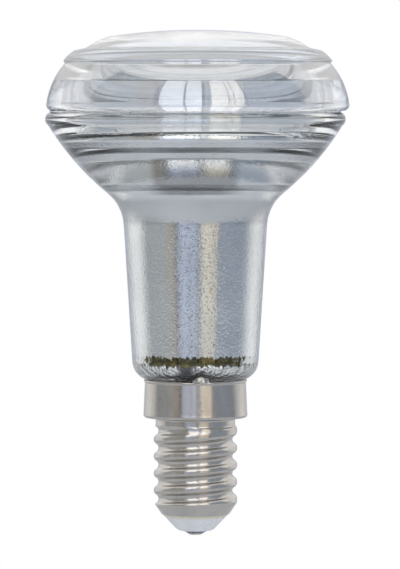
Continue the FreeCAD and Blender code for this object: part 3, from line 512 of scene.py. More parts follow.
class Finish:
    """A material under way: its tree, its shader and the object's own coordinates."""

    def __init__(self, name, **plain):
        self.material = bpy.data.materials.new(name)
        self.material.use_nodes = True
        self.tree = self.material.node_tree
        self.shader = self.tree.nodes["Principled BSDF"]
        self.place = add(self.tree, "ShaderNodeTexCoord").outputs["Object"]
        for socket, value in plain.items():
            self.shader.inputs[socket.replace("_", " ")].default_value = value

    def join(self, socket, value):
        """Feeds one of the shader's sockets."""
        self.tree.links.new(value, self.shader.inputs[socket])

    def roughen(self, value, low, high, to_low, to_high):
        """Feeds the roughness with a value carried to another range."""
        self.join("Roughness", fade(self.tree, value, low, high, to_low, to_high))

    def bump(self, height, depth):
        """Feeds a height to the shader's normal, at a depth in millimetres."""
        inputs = {"Height": height, "Distance": depth * MM, "Strength": 1.0}
        self.join("Normal", add(self.tree, "ShaderNodeBump", inputs).outputs[0])

    def axes(self):
        """The three coordinates."""
        return add(self.tree, "ShaderNodeSeparateXYZ", {0: self.place}).outputs

    def beside(self, middle=0.0):
        """Distance from the upright plane x = middle, which is given in millimetres."""
        shifted = sums(self.tree, "ADD", self.axes()[0], -middle * MM) if middle else self.axes()[0]
        return sums(self.tree, "ABSOLUTE", shifted)

    def coordinates(self, stretch):
        """The coordinates, stretched along the axes where a stretch is given."""
        return stretched(self.tree, self.place, stretch) if stretch else self.place

    def ripple(self, fine, coarse, fine_share=0.5, stretch=None):
        """Waves, as their height and a mask of their crests."""
        return use(self.tree, "ripple", {
            "Vector": self.coordinates(stretch), "Fine Scale": fine, "Coarse Scale": coarse,
            "Fine Share": fine_share,
        })

    def cloud(self, scale, base, light, dark, stretch=None):
        """A colour that drifts between a lighter and a darker level of its base."""
        return use(self.tree, "mottle", {
            "Vector": self.coordinates(stretch), "Scale": scale,
            "Light": shade(base, light), "Dark": shade(base, dark),
        })["Color"]

    def specks(self, scale, threshold, softness, stretch=None):
        """Scattered specks, as a mask."""
        return use(self.tree, "speckle", {
            "Vector": self.coordinates(stretch), "Scale": scale, "Threshold": threshold, "Softness": softness,
        })["Mask"]

    def zone(self, foot, head, softness, raggedness, grain=1200.0):
        """A level zone, as a mask."""
        return use(self.tree, "ragged_band", {
            "Vector": self.place, "Foot": foot * MM, "Head": head * MM, "Softness": softness * MM,
            "Raggedness": raggedness * MM, "Grain Scale": grain,
        })["Mask"]


# Finishes

# Level zones: foot, head, softness and raggedness of the edges in millimetres, and the scale of their grain
FLANGE = (78.3, 80.15, 0.1, 0.0)
# These four zones hold painted shade: the clear rim's on the glass, and the bead's, the low ring's and the
# throat's on the silver
CLEAR_RIM_PAINTED_SHADE = (67.3, 68.6, 0.25, 0.3)
BEAD = (58.4, 63.6, 0.3, 0.3)
LOW_RING = (57.0, 58.5, 0.4, 0.5)
THROAT = (51.2, 55.8, 1.2, 0.3)
BARE_RING = (28.3, 29.8, 0.3, 2.0, 1500.0)
CRUMPLED_FOOT = (20, 28.2, 0.6, 0.6)
SOLDER_STAIN = (26.2, 28.7, 0.3, 1.0)
UNDER_SHELL = (2.8, 9, 0.4, 0.2)

# Shares of the lens's gloss: everywhere, and what each part of the outside adds
PLAIN_GLOSS = 0.16
STEP_GLOSS = 0.30
STEP_ENDS_GLOSS = 0.45
LINE_GLOSS = 0.8
FLANGE_GLOSS = 0.43
FLAT_CROWN_GLOSS = 0.2
SLANT_CROWN_GLOSS = 0.65

# Ring of the light packages and radius of their windows, in millimetres
PACKAGE_RING = 6.75
PACKAGE_WINDOW = 1.08


def mottled(name, base, scale, depth=0.004, spread=0.12, **plain):
    """A plain opaque finish with a cloudy colour and a fine grain."""
    finish = Finish(name, **plain)
    grain = finish.ripple(scale * 6, scale)["Height"]
    rough = finish.shader.inputs["Roughness"].default_value
    finish.join("Base Color", finish.cloud(scale, base, 1 + spread, 1 - spread))
    finish.roughen(grain, 0.3, 0.7, rough * 0.8, min(rough * 1.25, 1))
    finish.bump(grain, depth)
    return finish.material


def lens_plastic(colours):
    """Clear moulded plastic with faint flow lines, a little frosted on the flange, with a painted blue tint
    there in place of the blue-grey light that the band shows.
    """
    finish = Finish("lens_plastic", Transmission_Weight=1.0, IOR=1.49, Coat_IOR=8.0)
    tree, height = finish.tree, finish.axes()[2]
    flow = finish.ripple(160.0, 45.0, 0.15, (1, 1, 2.5))["Height"]
    flange = finish.zone(*FLANGE)
    tint = blend(tree, fade(tree, height, 80.2 * MM, 80.8 * MM), tuple(colours.lens), WHITE)
    frost = product(tree, flange, 0.14)
    # Painted light: the blue tint on the flange
    finish.join("Base Color", blend(tree, flange, tint, tuple(colours.flange)))
    finish.join("Coat Weight", lens_gloss(finish, height, flange))
    finish.join("Roughness", sums(tree, "ADD", frost, fade(tree, flow, 0.35, 0.7, 0.0, 0.03)))
    finish.bump(flow, 0.02)
    return finish.material


def lens_gloss(finish, height, flange):
    """Share of the lens's gloss on the outside.

    It is low on the skirt, more over the skirt's step and at its two ends, and most on the edge
    under the flange, on the flange itself and on the crown where it is seen at a slant.
    """
    tree, axes = finish.tree, finish.axes()
    outer = fade(tree, hypotenuse(tree, axes[0], axes[1]), 21.3 * MM, 21.5 * MM)
    above = fade(tree, height, 75.25 * MM, 75.45 * MM)
    below = fade(tree, height, 78.25 * MM, 78.4 * MM, 1.0, 0.0)
    ends = fade(tree, finish.beside(), 16.0 * MM, 18.5 * MM, 0.0, STEP_ENDS_GLOSS)
    ends = sums(tree, "ADD", STEP_GLOSS, ends)
    line = fade(tree, height, 77.6 * MM, 77.85 * MM, 0.0, LINE_GLOSS)
    step = product(tree, outer, above, largest(tree, ends, line), below)
    facing = add(tree, "ShaderNodeLayerWeight", {"Blend": 0.5}).outputs["Facing"]
    slant = fade(tree, facing, 0.35, 0.75, FLAT_CROWN_GLOSS, SLANT_CROWN_GLOSS)
    crown = product(tree, fade(tree, height, 80.3 * MM, 80.5 * MM), slant)
    more = sums(tree, "ADD", step, largest(tree, product(tree, flange, FLANGE_GLOSS), crown))
    outside = sums(tree, "SUBTRACT", 1.0, add(tree, "ShaderNodeNewGeometry").outputs["Backfacing"])
    return sums(tree, "ADD", PLAIN_GLOSS, product(tree, outside, more))


def clear_glass(colours):
    """Pressed clear glass with slow waves, and painted shade that makes it a little darker in the clear rim's
    middle, in front and behind.
    """
    finish = Finish("clear_glass", Transmission_Weight=1.0, IOR=1.5, Roughness=0.0)
    tree = finish.tree
    # Painted shade: the glass's tint is darkened round the clear rim, most in front and behind
    middle = fade(tree, finish.beside(), 15.5 * MM, 20.5 * MM, 1.0, 0.0)
    rim = product(tree, finish.zone(*CLEAR_RIM_PAINTED_SHADE), middle)
    wave = finish.ripple(420.0, 110.0, 0.2, (1, 1, 0.5))["Height"]
    finish.join("Base Color", blend(tree, rim, tuple(colours.glass), shade(colours.glass, 0.76)))
    finish.roughen(wave, 0.3, 0.7, 0.0, 0.02)
    finish.bump(wave, 0.03)
    return finish.material


def clear_glue():
    """The thin ring of clear glue, with small bubbles."""
    finish = Finish("clear_glue", Transmission_Weight=1.0, IOR=1.46, Roughness=0.05)
    finish.shader.inputs["Base Color"].default_value = (0.93, 0.95, 0.96, 1)
    bubbles = finish.specks(1400.0, 0.6, 0.06)
    finish.roughen(bubbles, 0.0, 1.0, 0.04, 0.4)
    finish.bump(bubbles, 0.02)
    return finish.material


def silver_coat(colours):
    """The rippled silver behind the glass: bare in one ring, crumpled under it, and darkened in places by
    painted shade.
    """
    finish = Finish("silver_coat", Metallic=1.0, Roughness=0.1)
    tree = finish.tree
    waves = finish.ripple(2300.0, 300.0, 0.6)["Height"]
    crushed = finish.ripple(2600.0, 1100.0)
    crumple = finish.zone(*CRUMPLED_FOOT)
    metal = finish.cloud(90.0, colours.silver, 1.03, 0.94)
    metal = blend(tree, crumple, metal, (0.97, 0.96, 0.95))
    # Painted shade: the silver is blended towards black by the mask of painted shade
    metal = blend(tree, sums(tree, "SUBTRACT", 1.0, silver_painted_shade(finish)), BLACK, metal)
    metal = blend(tree, solder_stain(finish, crushed["Height"]), metal, (0.05, 0.05, 0.06))
    scorch = blend(tree, crushed["Crests"], shade(colours.scorch, 0.45), shade(colours.scorch, 1.35))
    finish.join("Base Color", blend(tree, bare_ring(finish, crushed["Height"]), metal, scorch))
    finish.roughen(waves, 0.35, 0.65, 0.06, 0.14)
    finish.bump(blend_values(tree, crumple, waves, product(tree, crushed["Height"], 8.0)), 0.055)
    return finish.material


def bare_ring(finish, crushed):
    """Mask of the ring that the coat leaves bare in front and behind, with ragged ends."""
    tree = finish.tree
    ragged = sums(tree, "ADD", finish.beside(), fade(tree, crushed, 0.3, 0.7, -1.2 * MM, 1.2 * MM))
    return product(tree, finish.zone(*BARE_RING), fade(tree, ragged, 6.9 * MM, 8.0 * MM, 1.0, 0.12))


def solder_stain(finish, crushed):
    """Mask of the dark stain beside the solder."""
    tree = finish.tree
    ragged = sums(tree, "ADD", finish.beside(-1.3), fade(tree, crushed, 0.3, 0.7, -0.6 * MM, 0.6 * MM))
    return product(tree, finish.zone(*SOLDER_STAIN), fade(tree, ragged, 0.5 * MM, 2.1 * MM, 0.9, 0.0))


def silver_painted_shade(finish):
    """Painted shade on the silver, as a mask: darker on the bead and the low ring in front and behind, in the
    throat, and as dark specks down the neck's middle.
    """
    tree, across = finish.tree, finish.beside()
    # Painted shade: darker on the bead and the low ring in front and behind, and in the throat
    bead = product(tree, finish.zone(*BEAD), fade(tree, across, 5.8 * MM, 7.4 * MM, 0.42, 0.04))
    low = product(tree, finish.zone(*LOW_RING), fade(tree, across, 3.5 * MM, 8.5 * MM, 0.5, 0.0))
    throat = fade(tree, finish.beside(-2.5), 0.8 * MM, 4.5 * MM, 0.07, 0.2)
    throat = product(tree, finish.zone(*THROAT), throat)
    # Painted shade: dark specks, only in a narrow strip down the neck's front and back
    middle = fade(tree, finish.beside(0.1), 2.9 * MM, 3.3 * MM, 0.33, 0.0)
    neck = fade(tree, finish.axes()[2], 52 * MM, 53.5 * MM, 1.0, 0.0)
    specks = product(tree, finish.specks(2600.0, 0.57, 0.05, (1, 1, 1.4)), middle, neck)
    return largest(tree, bead, low, specks, throat)


def nickel_shell(colours):
    """Satin nickel plate, a little pitted and stained."""
    finish = Finish("nickel_shell", Metallic=1.0, Roughness=0.2)
    tree = finish.tree
    plate = finish.cloud(350.0, colours.nickel, 1.06, 0.93, (1, 1, 0.3))
    pits = product(tree, finish.specks(2200.0, 0.66, 0.05), 0.5)
    grain = finish.ripple(3000.0, 700.0, 0.6, (1, 1, 0.4))["Height"]
    finish.join("Base Color", blend(tree, pits, plate, (0.22, 0.21, 0.2)))
    finish.roughen(grain, 0.3, 0.7, 0.16, 0.26)
    finish.bump(grain, 0.004)
    return finish.material


def insulator_glass(colours):
    """Pale opaque glass, faintly cloudy, with a warm line under the shell."""
    finish = Finish("insulator_glass", Roughness=0.22, Coat_Weight=0.4, Coat_Roughness=0.08)
    pale = finish.cloud(250.0, colours.insulator, 1.04, 0.95)
    grain = finish.ripple(1500.0, 300.0)["Height"]
    finish.join("Base Color", blend(finish.tree, finish.zone(*UNDER_SHELL), pale, (0.72, 0.68, 0.52)))
    finish.roughen(grain, 0.3, 0.7, 0.16, 0.3)
    finish.bump(grain, 0.006)
    return finish.material


def tin_solder(colours):
    """Solder with a frosty, cloudy skin."""
    finish = Finish("tin_solder", Metallic=1.0, Roughness=0.25)
    grain = finish.ripple(3500.0, 1000.0)["Height"]
    finish.join("Base Color", finish.cloud(900.0, colours.solder, 1.1, 0.6))
    finish.roughen(grain, 0.3, 0.7, 0.15, 0.4)
    finish.bump(grain, 0.03)
    return finish.material


def emitter_package():
    """White packages with a round yellow window each.

    The angle is taken from the middle of its sixth of the round, so one place on the ring stands
    for all six packages.
    """
    finish = Finish("emitter_package", Roughness=0.4)
    tree, axes, sixth = finish.tree, finish.axes(), math.pi / 3
    away = hypotenuse(tree, axes[0], axes[1])
    turn = sums(tree, "FLOORED_MODULO", sums(tree, "ARCTAN2", axes[1], axes[0]), sixth)
    turn = sums(tree, "SUBTRACT", turn, sixth / 2)
    along = sums(tree, "SUBTRACT", product(tree, away, sums(tree, "COSINE", turn)), PACKAGE_RING * MM)
    across = product(tree, away, sums(tree, "SINE", turn))
    edge = PACKAGE_WINDOW * MM
    window = fade(tree, hypotenuse(tree, along, across), edge, edge + 0.1 * MM, 1.0, 0.0)
    grain = finish.ripple(4000.0, 900.0)
    yellow = blend(tree, grain["Crests"], (0.78, 0.62, 0.10), (0.86, 0.72, 0.16))
    finish.join("Base Color", blend(tree, window, (0.82, 0.82, 0.79), yellow))
    finish.roughen(window, 0.0, 1.0, 0.45, 0.18)
    finish.bump(grain["Height"], 0.01)
    return finish.material


def finishes(colours):
    """Every material of the bulb by its plain name."""
    return {
        "lens": lens_plastic(colours),
        "glue": clear_glue(),
        "glass": clear_glass(colours),
        "silver": silver_coat(colours),
        "nickel": nickel_shell(colours),
        "insulator": insulator_glass(colours),
        "solder": tin_solder(colours),
        "emitter": emitter_package(),
        "brass": mottled("contact_brass", colours.brass, 600.0, Metallic=1.0, Roughness=0.3),
        "aluminium": mottled("bare_aluminium", (0.80, 0.81, 0.82), 300.0, Metallic=1.0, Roughness=0.32),
        "pad": mottled("grey_pad", (0.32, 0.34, 0.37), 500.0, 0.01, 0.1, Roughness=0.8),
        "board": mottled("white_board", (0.83, 0.84, 0.84), 400.0, 0.003, 0.03, Roughness=0.35),
        "sleeve": mottled("white_plastic", (0.80, 0.80, 0.78), 250.0, 0.004, 0.03, Roughness=0.4),
        "green": mottled(
            "green_board", (0.05, 0.20, 0.08), 500.0, 0.006, 0.15, Roughness=0.35, Coat_Weight=0.3,
        ),
        "can": mottled("black_can", (0.03, 0.03, 0.035), 300.0, 0.004, 0.2, Roughness=0.3, Coat_Weight=0.4),
        "ferrite": mottled("ferrite", (0.06, 0.055, 0.055), 900.0, 0.012, 0.2, Roughness=0.6),
        "copper": mottled("copper_wire", (0.72, 0.30, 0.12), 700.0, 0.02, 0.15, Metallic=1.0, Roughness=0.28),
        "resin": mottled("black_resin", (0.025, 0.025, 0.028), 900.0, 0.008, 0.2, Roughness=0.55),
        "resistor": mottled(
            "resistor_coat", (0.10, 0.22, 0.36), 500.0, 0.01, 0.1, Roughness=0.35, Coat_Weight=0.3,
        ),
        "wire": mottled("tinned_wire", (0.72, 0.72, 0.71), 900.0, 0.006, 0.1, Metallic=1.0, Roughness=0.28),
        "cement": mottled("basing_cement", (0.62, 0.57, 0.48), 500.0, 0.05, 0.15, Roughness=0.9),
    }


# Pieces

# Points in one turn of each piece, which keep it under 200,000 triangles
LENS_AROUND, GLASS_AROUND, CAP_AROUND = 256, 244, 184
# Bulges of the half sections' arcs, as shares of their chords: positive to the left of travel
LENS_DOME, LENS_SHOULDER, LENS_SKIRT, LENS_HEEL = 0.047, 0.06, 0.075, 0.2
GLASS_SHOULDER, GLASS_FLARE, GLASS_BOWL, GLASS_BRIM = -0.14, 0.0934, -0.0434, -0.29
GLASS_MOUTH, GLASS_BEAD, GLASS_FLARE_BORE = 0.033, 0.05, -0.0725
CAP_COLLAR, CAP_LIP = -0.2, -0.35
# Waves of the silver's upper edge: how many in the round, how strong, and the angle they start at
EDGE_WAVES = (3, 1.0, 0.7), (7, 0.6, 2.1), (17, 0.5, 0.0), (41, 0.4, 1.0)
# Turns over which the thread fades in and out, and how far before its helix the first fade starts
FADE_IN, FADE_OUT, FADE_AHEAD = 0.35, 0.4, 0.05
# The finishes by their plain names, once they are made
FINISH = {}


def lens_section(sizes):
    """The lens's half section: from the crown down the outside, and back up the inside."""
    r = sizes.round
    crown = dome_bulge(sizes.crown_edge[0], sizes.apex[1] - sizes.crown_edge[1])
    belly = dome_bulge(sizes.belly_edge[0], sizes.belly_edge[1] - sizes.belly_middle[1])
    return outline([
        (sizes.apex, crown, 0), (sizes.crown_edge, LENS_DOME, r), (sizes.dome_foot, 0, r),
        (sizes.flange, LENS_SHOULDER, r), (sizes.ridge, 0, r), (sizes.waist, LENS_SKIRT, r),
        (sizes.wide, LENS_HEEL, r), (sizes.foot, 0, r), (sizes.skirt_bore, 0, r), (sizes.roof, 0, r),
        (sizes.spigot_roof, 0, r), (sizes.spigot_foot, 0, r), (sizes.spigot_bore, 0, r),
        (sizes.belly_edge, belly, r), (sizes.belly_middle, 0, 0),
    ], closed=False)


def glass_section(sizes):
    """The glass's half section: up the smooth outside from the stem, and back down the stepped inside."""
    return outline([
        (sizes.stem_foot, 0, 0.1 * MM), (sizes.stem_top, 0, 0.15 * MM),
        (sizes.shoulder, GLASS_SHOULDER, 0.2 * MM), (sizes.neck_foot, 0, 0.5 * MM),
        (sizes.neck_top, GLASS_FLARE, 1.0 * MM), (sizes.throat, GLASS_BOWL, 1.0 * MM),
        (sizes.bowl_top, GLASS_BRIM, 0.4 * MM), (sizes.rim, 0, 0.2 * MM), (sizes.mouth, 0, 0.35 * MM),
        (sizes.mouth_foot, GLASS_MOUTH, 0.2 * MM), (sizes.turn_foot, 0, 0.3 * MM),
        (sizes.high_ring, 0, 0.2 * MM), (sizes.high_ledge, 0, 0.2 * MM),
        (sizes.bead_top, GLASS_BEAD, 0.15 * MM), (sizes.bead_foot, 0, 0.3 * MM),
        (sizes.low_ring, 0, 0.3 * MM), (sizes.flare_top, GLASS_FLARE_BORE, 0.4 * MM),
        (sizes.neck_top_bore, 0, 0.8 * MM), (sizes.neck_foot_bore, -GLASS_SHOULDER, 0.4 * MM),
        (sizes.shoulder_bore, 0, 0.2 * MM), (sizes.stem_bore, 0, 0.1 * MM),
        (sizes.stem_bore_foot, 0, 0.1 * MM),
    ], closed=True)


def silvered(sizes, mesh):
    """Marks the faces that the silver covers: the inner side between its two edges.

    A face lies inside where its normal points towards the axis or straight up at the mouth. The
    upper edge is the silver's height less the tilt times the cosine of the angle, plus a few
    sine waves.
    """
    count = len(mesh.polygons)
    middle, normal = np.empty(3 * count), np.empty(3 * count)
    mesh.polygons.foreach_get("center", middle)
    mesh.polygons.foreach_get("normal", normal)
    middle, normal = middle.reshape(-1, 3), normal.reshape(-1, 3)
    turn = np.arctan2(middle[:, 1], middle[:, 0])
    wave = sum(strength * np.sin(times * turn + start) for times, strength, start in EDGE_WAVES)
    edge = sizes.silver_top + sizes.edge_wave * wave - sizes.edge_tilt * np.cos(turn)
    inward = middle[:, 0] * normal[:, 0] + middle[:, 1] * normal[:, 1] < 0
    covered = inward & (middle[:, 2] > sizes.silver_foot) & (middle[:, 2] < edge)
    mesh.polygons.foreach_set("material_index", covered.astype(np.int32))


def thread_radius(sizes, turn, height):
    """Radius of the rolled thread at an angle and a height.

    With t the height over the first groove in pitches less the angle in turns, the groove's
    number k is the nearest whole number to t and the place on its helix is angle + k turns.
    The groove is two equal arcs of radius R: a hollow one within a quarter pitch of its middle
    and a round one beyond. Its depth fades in over the first part of a turn and out at the end.
    """
    quarter = sizes.pitch / 4
    bulge = sizes.depth / sizes.pitch
    arc_radius = quarter * (1 + 4 * bulge ** 2) / (4 * bulge)
    level = math.sqrt(arc_radius ** 2 - quarter ** 2)
    pitches = (height - sizes.start) / sizes.pitch - turn / (2 * math.pi)
    number = np.clip(np.round(pitches), 0, math.ceil(sizes.turns))
    away = np.clip(np.abs(pitches - number) * sizes.pitch, 0, 2 * quarter)
    hollow = level - np.sqrt(arc_radius ** 2 - np.minimum(away, quarter) ** 2)
    rounded = np.sqrt(arc_radius ** 2 - np.minimum(2 * quarter - away, quarter) ** 2) - level
    profile = sizes.crest - sizes.depth / 2 + np.where(away < quarter, hollow, rounded)
    helix = turn / (2 * math.pi) + number
    enter = np.clip((helix + FADE_AHEAD) / FADE_IN, 0, 1)
    leave = np.clip((sizes.turns - helix) / FADE_OUT, 0, 1)
    depth = enter ** 2 * (3 - 2 * enter) * leave ** 2 * (3 - 2 * leave)
    return sizes.crest - depth * (sizes.crest - profile)


def cap_grid(sizes, around):
    """The cap as one sheet: the outer side up from the mouth and the inner side back down.

    Each point of the half section keeps its height. Up to the land's top its radius is the
    smaller of its own and the thread's there, which is one sheet less on the inner side.
    """
    sheet = sizes.sheet
    bend = 0.25 * MM
    outer = outline([
        (sizes.mouth, 0, 0.05 * MM), (sizes.cone_top, 0, bend), (sizes.thread_top, 0, bend),
        (sizes.land_foot, 0, bend), (sizes.land_top, 0, bend), (sizes.ledge, CAP_COLLAR, 0.1 * MM),
        (sizes.collar_foot, 0, bend), (sizes.collar_top, CAP_LIP, 0.1 * MM), (sizes.lip, 0, 0),
    ], closed=False, step=0.075 * MM)
    inside = [
        (sizes.lip[0] - sheet, sizes.lip[1]),
        (sizes.collar_foot[0] - sheet, sizes.collar_foot[1]),
        (sizes.ledge[0] - sheet, sizes.ledge[1] + sheet),
        (sizes.land_top[0] - sheet, sizes.land_top[1] + sheet),
        (sizes.land_foot[0] - sheet, sizes.land_foot[1]),
        (sizes.thread_top[0] - sheet, sizes.thread_top[1]),
        (sizes.cone_top[0] - sheet, sizes.cone_top[1]),
        (sizes.mouth[0] - sheet, sizes.mouth[1]),
    ]
    inner = outline([(stop, 0, 0.15 * MM) for stop in inside], closed=False, step=0.2 * MM)
    section = np.concatenate([outer, inner])
    grid = turned_grid(section, around)
    turn = np.linspace(0, 2 * math.pi, around, endpoint=False)[None, :]
    height = section[:, 1, None]
    side = np.where(np.arange(len(section)) < len(outer), 0.0, sheet)[:, None]
    threaded = thread_radius(sizes, turn, height) - side
    plain = section[:, 0, None]
    radius = np.where(height > sizes.land_top[1], plain, np.minimum(plain, threaded))
    grid[:, :, 0], grid[:, :, 1] = radius * np.cos(turn), radius * np.sin(turn)
    return grid


def store_finishes():
    """Makes the shared effects and the finishes once, and keeps the finishes by name."""
    if "ripple" not in bpy.data.node_groups:
        make_ripple()
        make_ragged_band()
        make_speckle()
        make_mottle()
        FINISH.update(finishes(bpy.context.scene.bulb_colours))
    return FINISH


class BULB_OT_lens(Operator):
    """Makes the clear front lens in place of its plain solid"""

    bl_idname = "bulb.lens"
    bl_label = "Front lens"

    def execute(self, context):
        sizes = context.scene.bulb_lens
        grid = turned_grid(lens_section(sizes), LENS_AROUND)
        grid[:, :, 0] += sizes.offset
        lens = surface("clear_lens", grid)
        dress(lens, store_finishes()["lens"], "lens_clear")
        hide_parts("front_lens")
        return {"FINISHED"}


class BULB_OT_reflector(Operator):
    """Makes the clear glass and the silver on its stepped inner side"""

    bl_idname = "bulb.reflector"
    bl_label = "Glass and silver"

    def execute(self, context):
        made = store_finishes()
        sizes = context.scene.bulb_glass
        glass = surface("glass_skin", turned_grid(glass_section(sizes), GLASS_AROUND), wrap_rows=True)
        dress(glass, made["glass"], "silvered_glass")
        glass.data.materials.append(made["silver"])
        silvered(sizes, glass.data)
        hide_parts("glass_reflector")
        return {"FINISHED"}


class BULB_OT_cap(Operator):
    """Makes the rolled screw cap in place of its plain solid"""

    bl_idname = "bulb.cap"
    bl_label = "Screw cap"

    def execute(self, context):
        cap = surface("rolled_cap", cap_grid(context.scene.bulb_cap, CAP_AROUND), wrap_rows=True)
        dress(cap, store_finishes()["nickel"], "nickel_plate")
        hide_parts("screw_cap")
        return {"FINISHED"}


class BULB_OT_base_finishes(Operator):
    """Finishes the glue, cement, solder, insulator and contact that the CAD model carries over"""

    bl_idname = "bulb.base_finishes"
    bl_label = "Base finishes"

    def execute(self, context):
        made = store_finishes()
        repaint(["lens_seal"], made["glue"])
        repaint(["basing_cement"], made["cement"])
        repaint(["rim_solder", "contact_solder", "pin_solder_left", "pin_solder_right"], made["solder"])
        repaint(["cap_insulator"], made["insulator"])
        repaint(["centre_contact"], made["brass"])
        return {"FINISHED"}


class BULB_OT_inner_finishes(Operator):
    """Finishes the light board, the spreader and the driver inside the bulb"""

    bl_idname = "bulb.inner_finishes"
    bl_label = "Inner finishes"

    def execute(self, context):
        made = store_finishes()
        repaint(["heat_spreader"], made["aluminium"])
        repaint(["thermal_pad"], made["pad"])
        repaint(["led_board"], made["board"])
        repaint([f"led_{number}" for number in range(1, 7)], made["emitter"])
        repaint(["board_pin_left", "board_pin_right", "side_lead"], made["wire"])
        repaint(["driver_sleeve"], made["sleeve"])
        repaint(["driver_board"], made["green"])
        repaint(["smoothing_capacitor", "output_capacitor"], made["can"])
        repaint(["choke_core"], made["ferrite"])
        repaint(["choke_winding"], made["copper"])
        repaint(["bridge_rectifier", "driver_chip"], made["resin"])
        repaint(["fusible_resistor"], made["resistor"])
        return {"FINISHED"}


# Studio

# Foot and head of the walls, in metres
WALL_REACH = (-0.9, 1.9)
# Each window bar's azimuth and width, in degrees
BARS = {
    "left_jamb": (-33.0, 4.6), "cool_bar": (-10.6, 1.8), "mullion": (4.5, 2.4),
    "warm_bar": (24.5, 0.8), "second_warm_bar": (29.0, 0.8), "right_jamb": (38.0, 2.0),
}
# The curtain's two azimuths in degrees, and the cross rail's foot and head in metres
CURTAIN = (-52, -35)
RAIL = (0.40, 0.43)
# How bright each window is at its foot, as a share of its light, and both at their heads
COOL_FOOT, WARM_FOOT, WINDOW_HEAD = 0.33, 0.40, 2.2
# Left and right shades of the room's corners, and of the walls behind them
CORNER_SHADES = (0.36, 0.38, 0.40), (0.33, 0.36, 0.42)
SIDE_SHADES = (0.80, 0.82, 0.82), (0.62, 0.65, 0.69)
# Each lamp's place in metres and its power in watts
LAMPS = {"key_lamp": ((-0.9, -0.9, 1.1), 6.0), "side_lamp": ((1.0, -0.5, 0.9), 3.0)}
LAMP_WIDTH = 0.9


def curved_wall(name, start, end, foot, head, distance, columns=48):
    """Part of an upright cylinder round the bulb, between two azimuths and two heights.

    Azimuth 0 is towards the camera and grows to the right: (d sin a, -d cos a, z).
    """
    turn = np.linspace(start, end, columns)[None, :]
    height = np.linspace(foot, head, 6)[:, None]
    flat = np.zeros_like(turn * height)
    grid = np.stack([distance * np.sin(turn) + flat, -distance * np.cos(turn) + flat, height + flat], axis=2)
    made = surface(name, grid, wrap_columns=False)
    made.visible_camera = False
    return made


def glow(name, paint):
    """A material that only gives light, in the colour that paint(tree, place) makes."""
    material = bpy.data.materials.new(name)
    material.use_nodes = True
    tree = material.node_tree
    tree.nodes.clear()
    place = add(tree, "ShaderNodeTexCoord").outputs["Object"]
    light = add(tree, "ShaderNodeEmission", {"Color": paint(tree, place), "Strength": 1.0})
    add(tree, "ShaderNodeOutputMaterial", {"Surface": light.outputs[0]})
    return material


def clouded_glow(name, scale, first, second):
    """Light that drifts between two colours."""
    def paint(tree, place):
        return blend(tree, noise(tree, place, scale), first, second)
    return glow(name, paint)


def window_glow(name, light, foot_level):
    """A window's light: dim and tinted low down, white high up, and uneven across."""
    def paint(tree, place):
        height = add(tree, "ShaderNodeSeparateXYZ", {0: place}).outputs[2]
        uneven = fade(tree, noise(tree, place, 3.0, 2.0, 0.5), 0.3, 0.7, 0.88, 1.12)
        tint = blend(tree, fade(tree, height, 0.05, 0.6), tuple(light), (WINDOW_HEAD,) * 3)
        level = product(tree, fade(tree, height, -0.3, 0.5, foot_level, 1.0), uneven)
        return blend(tree, level, BLACK, tint)
    return glow(name, paint)


def room_glow(name, left, right):
    """The room's light: a colour to each side, darker low down and in the corners."""
    def paint(tree, place):
        axes = add(tree, "ShaderNodeSeparateXYZ", {0: place}).outputs
        side = fade(tree, axes[0], -0.5, 0.6)
        corner = fade(tree, sums(tree, "ABSOLUTE", axes[0]), 1.46, 1.54)
        high = blend(tree, side, tuple(left), tuple(right))
        low = blend(tree, side, shade(left, 0.88), shade(right, 0.86))
        wall = blend(tree, fade(tree, axes[2], -0.3, 0.35), low, high)
        return blend(tree, corner, wall, blend(tree, side, *CORNER_SHADES))
    return glow(name, paint)


def back_glow(name, low, head):
    """The light of the wall behind.

    From the corners backwards it goes from the corners' shades to those of the sides, to white
    and to its own colour, and it turns white at its head.
    """
    def paint(tree, place):
        axes = add(tree, "ShaderNodeSeparateXYZ", {0: place}).outputs
        side = fade(tree, axes[0], -0.5, 0.5)
        wall = blend(tree, side, *CORNER_SHADES)
        wall = blend(tree, fade(tree, axes[1], 0.1, 0.45), wall, blend(tree, side, *SIDE_SHADES))
        wall = blend(tree, fade(tree, axes[1], 0.3, 0.9), wall, WHITE)
        wall = blend(tree, fade(tree, axes[1], 1.05, 1.4), wall, tuple(low))
        return blend(tree, fade(tree, axes[2], head * 0.3, head), wall, WHITE)
    return glow(name, paint)


